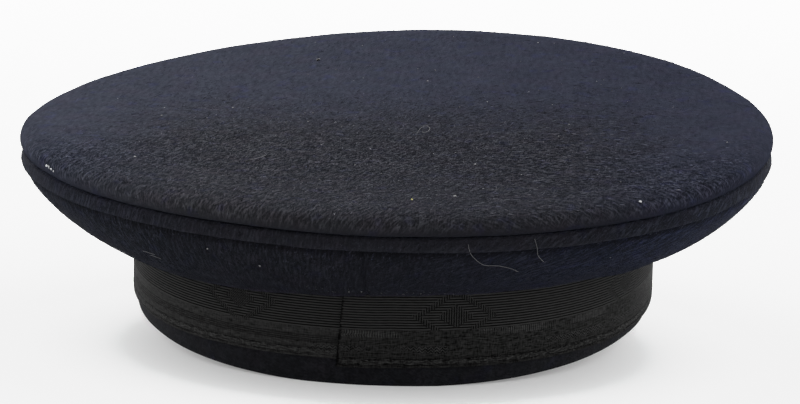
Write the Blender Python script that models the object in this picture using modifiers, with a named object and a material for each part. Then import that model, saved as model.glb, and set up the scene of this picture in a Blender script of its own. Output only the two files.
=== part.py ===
"""A visor cap with a wide flat crown, modelled as it rests on a table.

The cap is built in its own axes and then leant back on one empty, because a peak that slopes
down in front lifts the front of the band. Lengths are in metres. In the cap's axes Z is up from
the lower edge of the band and Y points to the peak. A place around the cap is an angle: 0 at the
rear and 90 degrees on the +X side.
"""

import math

import bmesh
import bpy
from mathutils import Vector

# Head band: a stiff wall covered in cloth
BAND_HALF_WIDTH = 0.0834
BAND_HALF_LENGTH = 0.1003
BAND_SQUARENESS = 2.04
BAND_HEIGHT = 0.039
BAND_WALL = 0.0025

# Woven ribbon around the band
RIBBON_THICKNESS = 0.0009
RIBBON_WIDTH = 0.0275
RIBBON_LOWER_EDGE = 0.0078
RIBBON_SIDE_DROOP = 0.0047
RIBBON_SEAM_STEP = 0.0023
RIBBON_SEAM_ANGLE = -2.7

# Seam between crown and side: how far it stands beyond the band, and its height
CROWN_OVERHANG_SIDE = 0.0377
CROWN_OVERHANG_END = 0.0202
CROWN_SET_BACK = 0.001
CROWN_SQUARENESS = 1.93
RIM_HEIGHT = 0.0527
RIM_REAR_RISE = 0.0002
RIM_LEAN = 0.0022
RIM_SADDLE = 0.00145
RIM_TWIST = -0.0015

# Side of the crown, from its fold at the ribbon out to the welt
HEM_HEIGHT = 0.0269
HEM_REAR_RISE = 0.0003
HEM_LEAN = -0.0013
HEM_SADDLE = 0.0029
HEM_TWIST = 0.0024
HEM_TURN_UP = 0.0025
SIDE_WALL = 0.0018

# Welt under the edge of the top
WELT_HEIGHT = 0.0053
WELT_LIP = 0.0008
WELT_WALL = 0.002

# Top of the crown, with its rolled edge
TOP_WALL = 0.0016
EDGE_ROLL_OUT = 0.0017
EDGE_ROLL_HEIGHT = 0.0066
TOP_SAG = 0.002

# Leather peak
PEAK_REACH = 0.042
PEAK_DROP = 0.027
PEAK_HALF_ANGLE = 62.0
PEAK_WALL = 0.0022
PEAK_SEAT_HEIGHT = 0.0004
PEAK_END_SHARE = 0.14
PEAK_FORWARD_LEAN = 0.55
PEAK_FULLNESS = 0.8

# Clearance between pieces, and how much cloth and leather flatten on the table
PIECE_GAP = 0.0003
TABLE_PRESS = 0.0005

# Facets around the cap and across the peak
AROUND = 72
PEAK_STATIONS = 32

# Section tables. The lengths are shares of the sizes named in their column titles.
SIDE_SECTION = [
    # (share out from the ribbon to the welt, share up from the fold to the welt)
    (0.00, 0.00),
    (0.30, 0.09),
    (0.60, 0.32),
    (0.85, 0.67),
    (1.00, 0.94),
    (1.00, 1.00),
]
WELT_SECTION = [
    # (share of WELT_LIP, share down WELT_HEIGHT)
    (1.0, 1.00),
    (1.0, 0.82),
    (0.6, 0.50),
    (0.0, 0.15),
    (0.0, 0.00),
]
EDGE_SECTION = [
    # (share of EDGE_ROLL_OUT, share of EDGE_ROLL_HEIGHT)
    (0.00, 0.00),
    (0.00, 0.12),
    (1.00, 0.45),
    (0.55, 0.80),
    (-1.40, 1.00),
]
TOP_SECTION = [
    # (share of the way out from the middle to the rim, share of TOP_SAG)
    (0.90, 0.06),
    (0.75, 0.30),
    (0.55, 0.62),
    (0.33, 0.87),
    (0.12, 0.99),
]
PEAK_SECTION = [
    # (share of the reach, share of the drop)
    (0.00, 0.00),
    (0.04, 0.00),
    (0.28, 0.22),
    (0.52, 0.46),
    (0.76, 0.72),
    (1.00, 1.00),
]

# Slot: colour, roughness, metallic
FINISHES = {
    "crown_cloth": ((0.012, 0.014, 0.024), 0.95, 0.0),
    "band_cloth": ((0.010, 0.011, 0.020), 0.95, 0.0),
    "woven_ribbon": ((0.010, 0.010, 0.010), 0.70, 0.0),
    "peak_leather": ((0.008, 0.008, 0.008), 0.15, 0.0),
}


def clear_scene():
    """Remove whatever the scene holds."""
    for old in list(bpy.data.objects):
        bpy.data.objects.remove(old, do_unlink=True)


def new_collection(name):
    """A fresh collection in the scene."""
    collection = bpy.data.collections.new(name)
    bpy.context.scene.collection.children.link(collection)
    return collection


def new_material(slot):
    """A Principled material from the table of finishes."""
    colour, roughness, metallic = FINISHES[slot]
    material = bpy.data.materials.new(slot)
    material.use_nodes = True
    shader = material.node_tree.nodes["Principled BSDF"]
    shader.inputs["Base Color"].default_value = (*colour, 1.0)
    shader.inputs["Roughness"].default_value = roughness
    shader.inputs["Metallic"].default_value = metallic
    return material


def signed_power(value, power):
    """A power that keeps the sign of its base."""
    return math.copysign(abs(value) ** power, value)


def outline(angle, half_width, half_length, squareness, grow=0.0, set_back=0.0):
    """A point of a rounded outline, moved out along the outline's normal by grow."""
    across = signed_power(math.sin(angle), 2.0 / squareness)
    along = -signed_power(math.cos(angle), 2.0 / squareness)
    normal = Vector((signed_power(across, squareness - 1.0) / half_width,
                     signed_power(along, squareness - 1.0) / half_length))
    normal.normalize()
    point = Vector((across * half_width, along * half_length - set_back)) + normal * grow
    return point, normal


def band_point(angle, grow):
    """A point beside the band's outer face."""
    return outline(angle, BAND_HALF_WIDTH, BAND_HALF_LENGTH, BAND_SQUARENESS, grow)[0]


def rim_point(angle, grow=0.0):
    """A point beside the seam between the crown's top and its welt."""
    half_width = BAND_HALF_WIDTH + CROWN_OVERHANG_SIDE
    half_length = BAND_HALF_LENGTH + CROWN_OVERHANG_END
    return outline(angle, half_width, half_length, CROWN_SQUARENESS, grow, CROWN_SET_BACK)[0]


def rim_height(angle):
    """Height of that seam: a little higher at the rear, and lower at the sides."""
    return (RIM_HEIGHT + RIM_REAR_RISE * math.cos(angle) + RIM_LEAN * math.sin(angle)
            + RIM_SADDLE * math.cos(2.0 * angle) + RIM_TWIST * math.sin(2.0 * angle))


def hem_height(angle):
    """Height of the fold where the side of the crown comes down on the ribbon."""
    return (HEM_HEIGHT + HEM_REAR_RISE * math.cos(angle) + HEM_LEAN * math.sin(angle)
            + HEM_SADDLE * math.cos(2.0 * angle) + HEM_TWIST * math.sin(2.0 * angle))


def ring_angles(start=0.0, steps=AROUND):
    """Angles of the sections around the cap."""
    return [math.radians(start) + 2.0 * math.pi * step / AROUND for step in range(steps)]


def band_rings():
    """Outer face of the head band."""
    rings = []
    for height in (0.0, BAND_HEIGHT):
        rings.append([Vector((*band_point(angle, 0.0), height)) for angle in ring_angles()])
    return rings


def ribbon_rings():
    """Outer face of the ribbon, from one end at the rear seam round to the other."""
    outer = PIECE_GAP + RIBBON_THICKNESS
    end_gap = PIECE_GAP / BAND_HALF_WIDTH
    angles = ring_angles(RIBBON_SEAM_ANGLE, AROUND + 1)
    angles[-1] -= end_gap
    lower = []
    upper = []
    for step, angle in enumerate(angles):
        step_share = step / AROUND - 0.5
        height = (RIBBON_LOWER_EDGE + RIBBON_SEAM_STEP * step_share
                  - RIBBON_SIDE_DROOP * math.sin(angle) ** 2)
        place = band_point(angle, outer)
        lower.append(Vector((*place, height)))
        upper.append(Vector((*place, height + RIBBON_WIDTH)))
    return [lower, upper]


def side_rings():
    """Seen face of the crown's side, from the turned-up edge round the fold to the welt."""
    ribbon_face = PIECE_GAP + RIBBON_THICKNESS + PIECE_GAP
    rings = [[Vector((*band_point(angle, ribbon_face), hem_height(angle) + HEM_TURN_UP))
              for angle in ring_angles()]]
    for out_share, up_share in SIDE_SECTION:
        ring = []
        for angle in ring_angles():
            inner = band_point(angle, ribbon_face)
            outer = rim_point(angle)
            bottom = hem_height(angle)
            top = rim_height(angle) - WELT_HEIGHT - PIECE_GAP / 2.0
            place = inner.lerp(outer, out_share)
            ring.append(Vector((*place, bottom + (top - bottom) * up_share)))
        rings.append(ring)
    return rings


def welt_rings():
    """Outer face of the welt, from its lip up to the seam."""
    rings = []
    span = WELT_HEIGHT - PIECE_GAP
    for lip_share, down_share in WELT_SECTION:
        ring = []
        for angle in ring_angles():
            height = rim_height(angle) - PIECE_GAP / 2.0 - span * down_share
            ring.append(Vector((*rim_point(angle, WELT_LIP * lip_share), height)))
        rings.append(ring)
    return rings


def top_rings():
    """Upper face of the crown's top, from the seam over the rolled edge towards the middle."""
    rings = []
    for out_share, up_share in EDGE_SECTION:
        ring = []
        for angle in ring_angles():
            height = rim_height(angle) + PIECE_GAP / 2.0 + EDGE_ROLL_HEIGHT * up_share
            ring.append(Vector((*rim_point(angle, EDGE_ROLL_OUT * out_share), height)))
        rings.append(ring)
    for reach_share, sag_share in TOP_SECTION:
        ring = []
        for angle in ring_angles():
            place = rim_point(angle) * reach_share
            wave = (rim_height(angle) - RIM_HEIGHT) * reach_share
            height = top_middle_height() + wave + TOP_SAG * (1.0 - sag_share)
            ring.append(Vector((*place, height)))
        rings.append(ring)
    return rings


def top_middle_height():
    """Height of the middle of the crown's top."""
    return RIM_HEIGHT + PIECE_GAP / 2.0 + EDGE_ROLL_HEIGHT - TOP_SAG


def peak_rings():
    """Upper face of the peak: one ring a row, from the band out to the free edge."""
    rings = [[] for row in PEAK_SECTION]
    seat = PEAK_SEAT_HEIGHT + PEAK_WALL
    for step in range(PEAK_STATIONS + 1):
        across = 1.0 - 2.0 * step / PEAK_STATIONS
        angle = math.pi + math.radians(PEAK_HALF_ANGLE) * across
        inner, normal = outline(angle, BAND_HALF_WIDTH, BAND_HALF_LENGTH, BAND_SQUARENESS,
                                PIECE_GAP)
        forward = Vector((normal.x * PEAK_FORWARD_LEAN, normal.y)).normalized()
        size = math.cos(across * math.pi / 2.0) ** PEAK_FULLNESS
        size = PEAK_END_SHARE + (1.0 - PEAK_END_SHARE) * size
        for ring, (reach_share, drop_share) in zip(rings, PEAK_SECTION):
            place = inner + forward * (PEAK_REACH * size * reach_share)
            ring.append(Vector((*place, seat - PEAK_DROP * size * drop_share)))
    return rings


def peak_lower_edge(rings):
    """The lower corner of the peak's free edge, which touches the table."""
    corners = []
    for inner, outer in zip(rings[-2], rings[-1]):
        slope = outer - inner
        across = Vector((slope.y, -slope.x, 0.0))
        normal = across.cross(slope).normalized()
        if normal.z < 0.0:
            normal = -normal
        corners.append(outer - normal * PEAK_WALL)
    return corners


def rest_lean(corners):
    """Angle that sets the band's rear edge and the peak's free edge on one flat table."""
    return max(math.atan2(-corner.z, corner.y + BAND_HALF_LENGTH) for corner in corners)


def place_axes(collection, lean, rings):
    """The empty that carries the cap, with the middle of the leant cap over the origin."""
    sine = math.sin(lean)
    cosine = math.cos(lean)
    reach = [point.y * cosine - point.z * sine for ring in rings for point in ring]
    axes = bpy.data.objects.new("cap_axes", None)
    axes.rotation_euler = (lean, 0.0, 0.0)
    axes.location = (0.0, -(min(reach) + max(reach)) / 2.0, BAND_HALF_LENGTH * sine - TABLE_PRESS)
    axes.empty_display_size = BAND_HALF_WIDTH
    collection.objects.link(axes)
    return axes


def loft(name, rings, closed=True, middle=None):
    """A mesh skinned over rings of points, closed round the cap or open, or with a middle point."""
    mesh = bpy.data.meshes.new(name)
    skin = bmesh.new()
    rows = [[skin.verts.new(point) for point in ring] for ring in rings]
    count = len(rows[0])
    steps = count if closed else count - 1
    for lower, upper in zip(rows, rows[1:]):
        for step in range(steps):
            after = (step + 1) % count
            skin.faces.new((lower[step], lower[after], upper[after], upper[step]))
    if middle is not None:
        tip = skin.verts.new(middle)
        for step in range(steps):
            skin.faces.new((rows[-1][step], rows[-1][(step + 1) % count], tip))
    skin.normal_update()
    skin.to_mesh(mesh)
    skin.free()
    mesh.shade_smooth()
    return mesh


def add_piece(name, mesh, slot, wall, axes, collection):
    """An object for one piece, its open skin given a wall on the hidden side."""
    mesh.materials.append(bpy.data.materials[slot])
    piece = bpy.data.objects.new(name, mesh)
    piece.parent = axes
    collection.objects.link(piece)
    solidify = piece.modifiers.new("wall", "SOLIDIFY")
    solidify.thickness = wall
    solidify.offset = -1.0
    solidify.use_even_offset = True
    solidify.use_quality_normals = True
    return piece


def add_table_cutter(collection):
    """A block below the table's surface, to flatten what rests on it."""
    depth = 0.1
    bpy.ops.mesh.primitive_cube_add(size=1.0, location=(0.0, 0.0, -depth / 2.0))
    cutter = bpy.context.active_object
    cutter.name = "table_cutter"
    cutter.scale = (1.0, 1.0, depth)
    bpy.context.view_layer.update()
    cutter.data.transform(cutter.matrix_world)
    cutter.matrix_world.identity()
    for holder in list(cutter.users_collection):
        holder.objects.unlink(cutter)
    collection.objects.link(cutter)
    cutter.hide_render = True
    cutter.display_type = "WIRE"
    return cutter


def flatten(piece, cutter):
    """Cut a piece level where it meets the table."""
    cut = piece.modifiers.new("table", "BOOLEAN")
    cut.operation = "DIFFERENCE"
    cut.object = cutter
    cut.solver = "EXACT"


def build():
    """Make the whole cap."""
    clear_scene()
    cap = new_collection("visor_cap")
    cutters = new_collection("cutters")
    for slot in FINISHES:
        new_material(slot)

    peak_rows = peak_rings()
    top_rows = top_rings()
    lean = rest_lean(peak_lower_edge(peak_rows))
    axes = place_axes(cap, lean, peak_rows + top_rows)

    band = add_piece("base_band", loft("base_band", band_rings()), "band_cloth",
                     BAND_WALL, axes, cap)
    add_piece("ribbon_band", loft("ribbon_band", ribbon_rings(), closed=False), "woven_ribbon",
              RIBBON_THICKNESS, axes, cap)
    add_piece("crown_side", loft("crown_side", side_rings()), "crown_cloth",
              SIDE_WALL, axes, cap)
    add_piece("crown_welt", loft("crown_welt", welt_rings()), "crown_cloth",
              WELT_WALL, axes, cap)
    middle = Vector((0.0, 0.0, top_middle_height()))
    add_piece("crown_top", loft("crown_top", top_rows, middle=middle), "crown_cloth",
              TOP_WALL, axes, cap)
    peak = add_piece("peak", loft("peak", peak_rows, closed=False), "peak_leather",
                     PEAK_WALL, axes, cap)

    cutter = add_table_cutter(cutters)
    flatten(band, cutter)
    flatten(peak, cutter)
    bpy.context.view_layer.update()


build()
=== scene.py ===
"""Looks of a visor cap: napped navy-black wool over a stiff band, with a ribbed woven ribbon.

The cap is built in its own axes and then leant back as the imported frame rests. In the cap's axes
Z is up from the lower edge of the band and Y points to the peak. A place around the cap is an
angle: 0 at the rear and 90 degrees on the +X side. Lengths are in metres.
"""

import logging
import math
from dataclasses import dataclass, field
from enum import Enum
from typing import Callable, Mapping, Optional, Sequence, Union

import bmesh
import bpy
import numpy as np
from mathutils import Matrix, Vector, noise
from mathutils.bvhtree import BVHTree


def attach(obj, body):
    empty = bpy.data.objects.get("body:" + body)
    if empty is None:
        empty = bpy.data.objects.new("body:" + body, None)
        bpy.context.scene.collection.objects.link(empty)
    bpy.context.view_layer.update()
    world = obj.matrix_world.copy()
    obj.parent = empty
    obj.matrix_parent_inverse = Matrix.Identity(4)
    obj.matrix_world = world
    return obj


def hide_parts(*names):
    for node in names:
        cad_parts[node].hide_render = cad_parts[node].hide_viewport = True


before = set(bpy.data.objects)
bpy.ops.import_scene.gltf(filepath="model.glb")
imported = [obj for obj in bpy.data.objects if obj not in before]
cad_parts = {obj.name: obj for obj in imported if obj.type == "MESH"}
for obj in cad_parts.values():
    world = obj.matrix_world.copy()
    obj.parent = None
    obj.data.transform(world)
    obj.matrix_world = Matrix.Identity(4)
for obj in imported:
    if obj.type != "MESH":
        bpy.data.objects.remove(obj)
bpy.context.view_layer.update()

LOG = logging.getLogger("visor_cap")
MM = 0.001
CLOTH_UV = "cloth"
REST = "rest"
TONE = "tone"

Colour = tuple[float, float, float]
Row = tuple[float, ...]
Profile = Callable[[float], list[Vector]]

QUARTER_TURN = math.radians(90.0)
NAP_SHEEN: Colour = (0.55, 0.66, 1.0)


class Body(Enum):
    """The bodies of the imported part."""

    ROOT = "root"


class Slot(Enum):
    """The material slots of the record."""

    CROWN_CLOTH = "crown_cloth"
    BAND_CLOTH = "band_cloth"
    WOVEN_RIBBON = "woven_ribbon"
    PEAK_LEATHER = "peak_leather"


# Shape of the cap


def signed_power(value: float, power: float) -> float:
    """A power that keeps the sign of its base."""
    return math.copysign(abs(value) ** power, value)


def smooth_step(low: float, high: float, value: float) -> float:
    """A smooth rise from 0 at low to 1 at high."""
    share = min(max((value - low) / (high - low), 0.0), 1.0)
    return share * share * (3.0 - 2.0 * share)


def smooth_rise(values: np.ndarray, low: float, high: float) -> np.ndarray:
    """The same smooth rise of many values."""
    share = np.clip((values - low) / (high - low), 0.0, 1.0)
    return share * share * (3.0 - 2.0 * share)


def bell(distance: float, width: float) -> float:
    """A smooth hump of height 1 whose sides fall away over width."""
    return math.exp(-((distance / width) ** 2))


def smooth_rows(table: Sequence[Row], steps: int) -> list[Row]:
    """Rows along a smooth curve through the rows of a section table.

    Args:
        table: The rows that the curve passes through, two or more.
        steps: How many spans each gap between two rows is divided into.

    Returns:
        The rows of the curve, both ends included.
    """
    rows = []
    last = len(table) - 1
    for index in range(last):
        before = table[max(index - 1, 0)]
        start, end = table[index], table[index + 1]
        after = table[min(index + 2, last)]
        for step in range(steps):
            t = step / steps
            rows.append(tuple(
                0.5 * (2.0 * b + (c - a) * t + (2.0 * a - 5.0 * b + 4.0 * c - d) * t ** 2
                       + (3.0 * b - a - 3.0 * c + d) * t ** 3)
                for a, b, c, d in zip(before, start, end, after)))
    rows.append(tuple(table[-1]))
    return rows


def lump(point: Vector, size: float, seed: float) -> float:
    """Smooth noise from -1 to 1 whose lumps are about size across."""
    return noise.noise(point / size + Vector((seed, -seed, 2.0 * seed)))


@dataclass(frozen=True)
class CapShape:
    """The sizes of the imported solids, with a slightly fuller band and a narrower welt."""

    band_half_width: float = 0.0842
    band_half_length: float = 0.1003
    band_squareness: float = 2.07
    band_height: float = 0.039
    band_wall: float = 0.0025
    ribbon_thickness: float = 0.0009
    ribbon_width: float = 0.0275
    ribbon_lower_edge: float = 0.0078
    ribbon_side_droop: float = 0.0047
    ribbon_seam_step: float = 0.0023
    ribbon_seam_angle: float = math.radians(-2.7)
    overhang_side: float = 0.0369
    overhang_end: float = 0.0202
    crown_set_back: float = 0.001
    crown_squareness: float = 1.93
    rim: Row = (0.0527, 0.0002, 0.0022, 0.00145, -0.0015)
    hem: Row = (0.0269, 0.0003, -0.0013, 0.0029, 0.0024)
    welt_height: float = 0.0042
    top_wall: float = 0.0016
    roll_out: float = 0.0017
    roll_height: float = 0.0066
    top_sag: float = 0.002
    peak_reach: float = 0.042
    peak_drop: float = 0.027
    peak_half_angle: float = math.radians(62.0)
    peak_wall: float = 0.0022
    peak_seat_height: float = 0.0004
    peak_end_share: float = 0.14
    peak_forward_lean: float = 0.55
    peak_fullness: float = 0.8
    gap: float = 0.0003

    @staticmethod
    def outline(angle: float, half_width: float, half_length: float, squareness: float,
                grow: float = 0.0, set_back: float = 0.0) -> tuple[Vector, Vector]:
        """A point of a rounded outline.

        Args:
            angle: Place around the cap.
            half_width: Half the outline's width.
            half_length: Half the outline's length.
            squareness: 2 for an ellipse, more for fuller corners.
            grow: How far the point stands out along the outline's normal.
            set_back: How far the outline's middle lies towards the rear.

        Returns:
            The point and the outline's normal there, both in plan.
        """
        across = signed_power(math.sin(angle), 2.0 / squareness)
        along = -signed_power(math.cos(angle), 2.0 / squareness)
        normal = Vector((signed_power(across, squareness - 1.0) / half_width,
                         signed_power(along, squareness - 1.0) / half_length))
        normal.normalize()
        point = Vector((across * half_width, along * half_length - set_back)) + normal * grow
        return point, normal

    def band_point(self, angle: float, grow: float) -> Vector:
        """A point beside the band's outer face."""
        return self.outline(angle, self.band_half_width, self.band_half_length,
                            self.band_squareness, grow)[0]

    def rim_point(self, angle: float, grow: float = 0.0) -> Vector:
        """A point beside the seam between the crown's top and its welt."""
        return self.outline(angle, self.band_half_width + self.overhang_side,
                            self.band_half_length + self.overhang_end,
                            self.crown_squareness, grow, self.crown_set_back)[0]

    @staticmethod
    def wave(terms: Row, angle: float) -> float:
        """Height of a warped edge.

        Args:
            terms: The mean, then the cosine and the sine of the first and of the second wave
                round the cap.
            angle: Place around the cap.

        Returns:
            The height there.
        """
        mean, cosine, sine, cosine_twice, sine_twice = terms
        return (mean + cosine * math.cos(angle) + sine * math.sin(angle)
                + cosine_twice * math.cos(2.0 * angle) + sine_twice * math.sin(2.0 * angle))

    def rim_height(self, angle: float) -> float:
        """Height of the seam between the crown's top and its welt."""
        return self.wave(self.rim, angle)

    def hem_height(self, angle: float) -> float:
        """Height of the fold where the crown's side comes down on the ribbon."""
        return self.wave(self.hem, angle)

    def middle_height(self) -> float:
        """Height of the middle of the crown's top."""
        return self.rim[0] + self.gap / 2.0 + self.roll_height - self.top_sag


@dataclass(frozen=True)
class CapAxes:
    """How the cap's own axes lie in the frame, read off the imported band."""

    to_world: Matrix

    @classmethod
    def from_band(cls, shape: CapShape) -> "CapAxes":
        """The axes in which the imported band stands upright.

        Args:
            shape: The cap's sizes, for the band's length and height.

        Returns:
            The cap's axes.
        """
        corners = [vertex.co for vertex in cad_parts["base_band"].data.vertices]
        rear = min(corners, key=lambda corner: corner.y)
        front = max(corners, key=lambda corner: corner.z)
        lean = math.atan2(front.z - rear.z, front.y - rear.y)
        turn = Matrix.Rotation(lean, 4, "X")
        foot = turn @ Vector((0.0, -shape.band_half_length, shape.band_height))
        place = Matrix.Translation((0.0, rear.y - foot.y, rear.z - foot.z))
        return cls(place @ turn)


# Mesh helpers


def spin_chain(form: bmesh.types.BMesh, count: int, closed: bool, steps: int,
               sweep: float = math.tau) -> None:
    """Spin a chain of vertices about the cap's axis, from the rear towards +X.

    The mesh gets its layers after this and before its keys are asked for.

    Args:
        form: The empty mesh for the chain and its copies.
        count: How many vertices the chain has, one above another.
        closed: Whether the chain is a closed loop.
        steps: How many steps the spin has.
        sweep: Its angle. A whole turn joins its end to its start.
    """
    chain = [form.verts.new((0.0, -1.0, float(row))) for row in range(count)]
    links = [form.edges.new(pair) for pair in zip(chain, chain[1:])]
    if closed:
        links.append(form.edges.new((chain[-1], chain[0])))
    bmesh.ops.spin(form, geom=chain + links, axis=(0.0, 0.0, 1.0), cent=(0.0, 0.0, 0.0),
                   dvec=(0.0, 0.0, 0.0), angle=sweep, steps=steps,
                   use_merge=sweep == math.tau, use_normal_flip=False, use_duplicate=False)


def chain_keys(form: bmesh.types.BMesh, steps: int, sweep: float = math.tau
               ) -> dict[bmesh.types.BMVert, tuple[int, int]]:
    """Where each vertex is in a mesh that was only spun.

    Args:
        form: The mesh, which has its layers by now. A new vertex layer makes the keys stale.
        steps: How many steps the spin had.
        sweep: Its angle.

    Returns:
        The step and the row of each vertex.
    """
    last = steps - 1 if sweep == math.tau else steps
    keys = {}
    for vertex in form.verts:
        turn = math.atan2(vertex.co.x, -vertex.co.y) % math.tau
        step = round(turn / sweep * steps)
        keys[vertex] = (step if step <= last else 0, round(vertex.co.z))
    return keys


@dataclass
class Shell:
    """A shell spun once round the cap and then set on the cap's own lines.

    The spin is even in angle. The stations are then drawn closer together at the rear, where the
    seams are.
    """

    segments: int = 360
    crowding: float = 0.6

    def angle_at(self, index: int) -> float:
        """Angle of one station around the cap."""
        even = math.tau * index / self.segments
        return even - self.crowding * math.sin(even)

    def build(self, profile: Profile, closed: bool = False, from_middle: bool = False
              ) -> bmesh.types.BMesh:
        """Spin a chain of vertices and set each on the profile at its angle.

        Args:
            profile: Gives the points of the section at an angle, in the cap's axes.
            closed: Whether the section is a closed loop.
            from_middle: Whether the cloth map unrolls the surface around the cap's middle. It
                is otherwise unrolled along the section and around the cap.

        Returns:
            The shell, with a UV map in metres. Where the map tells the length along the section
            from one end, the REST layer tells the length left to the other.
        """
        sections = [profile(self.angle_at(index)) for index in range(self.segments)]
        count = len(sections[0])
        shell = bmesh.new()
        spin_chain(shell, count, closed, self.segments)
        runs = [self.run_of(section, closed) for section in sections]
        rounds, whole = self.rounds_of(sections)
        unrolled = shell.loops.layers.uv.new(CLOTH_UV)
        rest = shell.verts.layers.float.new(REST)
        keys = chain_keys(shell, self.segments)
        front = self.segments // 2
        for face in shell.faces:
            corners = [keys[loop.vert] for loop in face.loops]
            at_front = {index for index, _ in corners} == {front - 1, front}
            at_join = closed and {row for _, row in corners} == {0, count - 1}
            for loop, (index, row) in zip(face.loops, corners):
                if from_middle:
                    point = sections[index][row]
                    plan = Vector((point.x, point.y))
                    reach = runs[index][-1] - runs[index][row]
                    loop[unrolled].uv = plan * (reach / max(plan.length, 1e-9))
                else:
                    around = rounds[index] + (whole if at_front and index == front else 0.0)
                    length = runs[index][-1 if at_join and row == 0 else row]
                    loop[unrolled].uv = (around, length)
        for vertex, (index, row) in keys.items():
            run = runs[index]
            vertex[rest] = run[row] if from_middle else run[-1] - run[row]
            vertex.co = sections[index][row]
        bmesh.ops.remove_doubles(shell, verts=shell.verts, dist=1e-7)
        self.face_outwards(shell)
        return shell

    @staticmethod
    def run_of(section: Sequence[Vector], closed: bool) -> list[float]:
        """Lengths along a section.

        Args:
            section: Its points.
            closed: Whether it is a closed loop.

        Returns:
            The length to each point, and then right round a closed loop.
        """
        run = [0.0]
        points = list(section) + ([section[0]] if closed else [])
        for start, end in zip(points, points[1:]):
            run.append(run[-1] + (end - start).length)
        return run

    def rounds_of(self, sections: Sequence[Sequence[Vector]]) -> tuple[list[float], float]:
        """Lengths around the cap to each station from the rear, below 0 on the -X side.

        Args:
            sections: The section at each station.

        Returns:
            The length to each station, and the length of the whole round.
        """
        middle = len(sections[0]) // 2
        line = [section[middle] for section in sections]
        run = [0.0]
        for start, end in zip(line, line[1:] + line[:1]):
            run.append(run[-1] + (end - start).length)
        front = self.segments // 2
        return run[:front] + [length - run[-1] for length in run[front:-1]], run[-1]

    @staticmethod
    def face_outwards(shell: bmesh.types.BMesh) -> None:
        """Turn all faces over if they look inwards.

        Args:
            shell: The shell, in the cap's axes.
        """
        shell.normal_update()
        looks = 0.0
        for face in shell.faces:
            centre = face.calc_center_median()
            out = Vector((centre.x, centre.y, 0.0)).normalized() + Vector((0.0, 0.0, 0.6))
            looks += face.normal.dot(out) * face.calc_area()
        if looks < 0.0:
            bmesh.ops.reverse_faces(shell, faces=shell.faces)


def as_mesh(name: str, form: bmesh.types.BMesh) -> bpy.types.Mesh:
    """A mesh from a form.

    Args:
        name: The mesh's name.
        form: The form, which is freed.

    Returns:
        The new mesh.
    """
    mesh = bpy.data.meshes.new(name)
    form.to_mesh(mesh)
    form.free()
    return mesh


def as_object(name: str, data: bpy.types.ID) -> bpy.types.Object:
    """An object at the origin for a mesh or a camera, linked to the scene.

    Args:
        name: The object's name.
        data: The mesh or the camera.

    Returns:
        The new object.
    """
    made = bpy.data.objects.new(name, data)
    bpy.context.scene.collection.objects.link(made)
    return made


def as_piece(name: str, form: bmesh.types.BMesh, axes: CapAxes) -> bpy.types.Object:
    """A smooth piece from a form in the cap's axes, leant back as the cap rests.

    Args:
        name: The piece's name.
        form: The form, which is freed.
        axes: The cap's axes.

    Returns:
        The new object, at the origin, with its place in its mesh.
    """
    bmesh.ops.transform(form, matrix=axes.to_world, verts=form.verts)
    mesh = as_mesh(name, form)
    mesh.shade_smooth()
    piece = as_object(name, mesh)
    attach(piece, Body.ROOT.value)
    LOG.info("%s: %d faces", name, len(mesh.polygons))
    return piece


def add_wall(piece: bpy.types.Object, wall: float) -> None:
    """Give an open skin its thickness on the hidden side.

    Args:
        piece: The piece with the skin.
        wall: The thickness.
    """
    solidify = piece.modifiers.new("wall", "SOLIDIFY")
    solidify.thickness = wall
    solidify.offset = -1.0
    solidify.use_even_offset = True
    solidify.use_quality_normals = True


def press_on_table(piece: bpy.types.Object) -> None:
    """Flatten whatever would lie below the table's surface."""
    for vertex in piece.data.vertices:
        vertex.co.z = max(vertex.co.z, 0.0)


# Shader helpers


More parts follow.
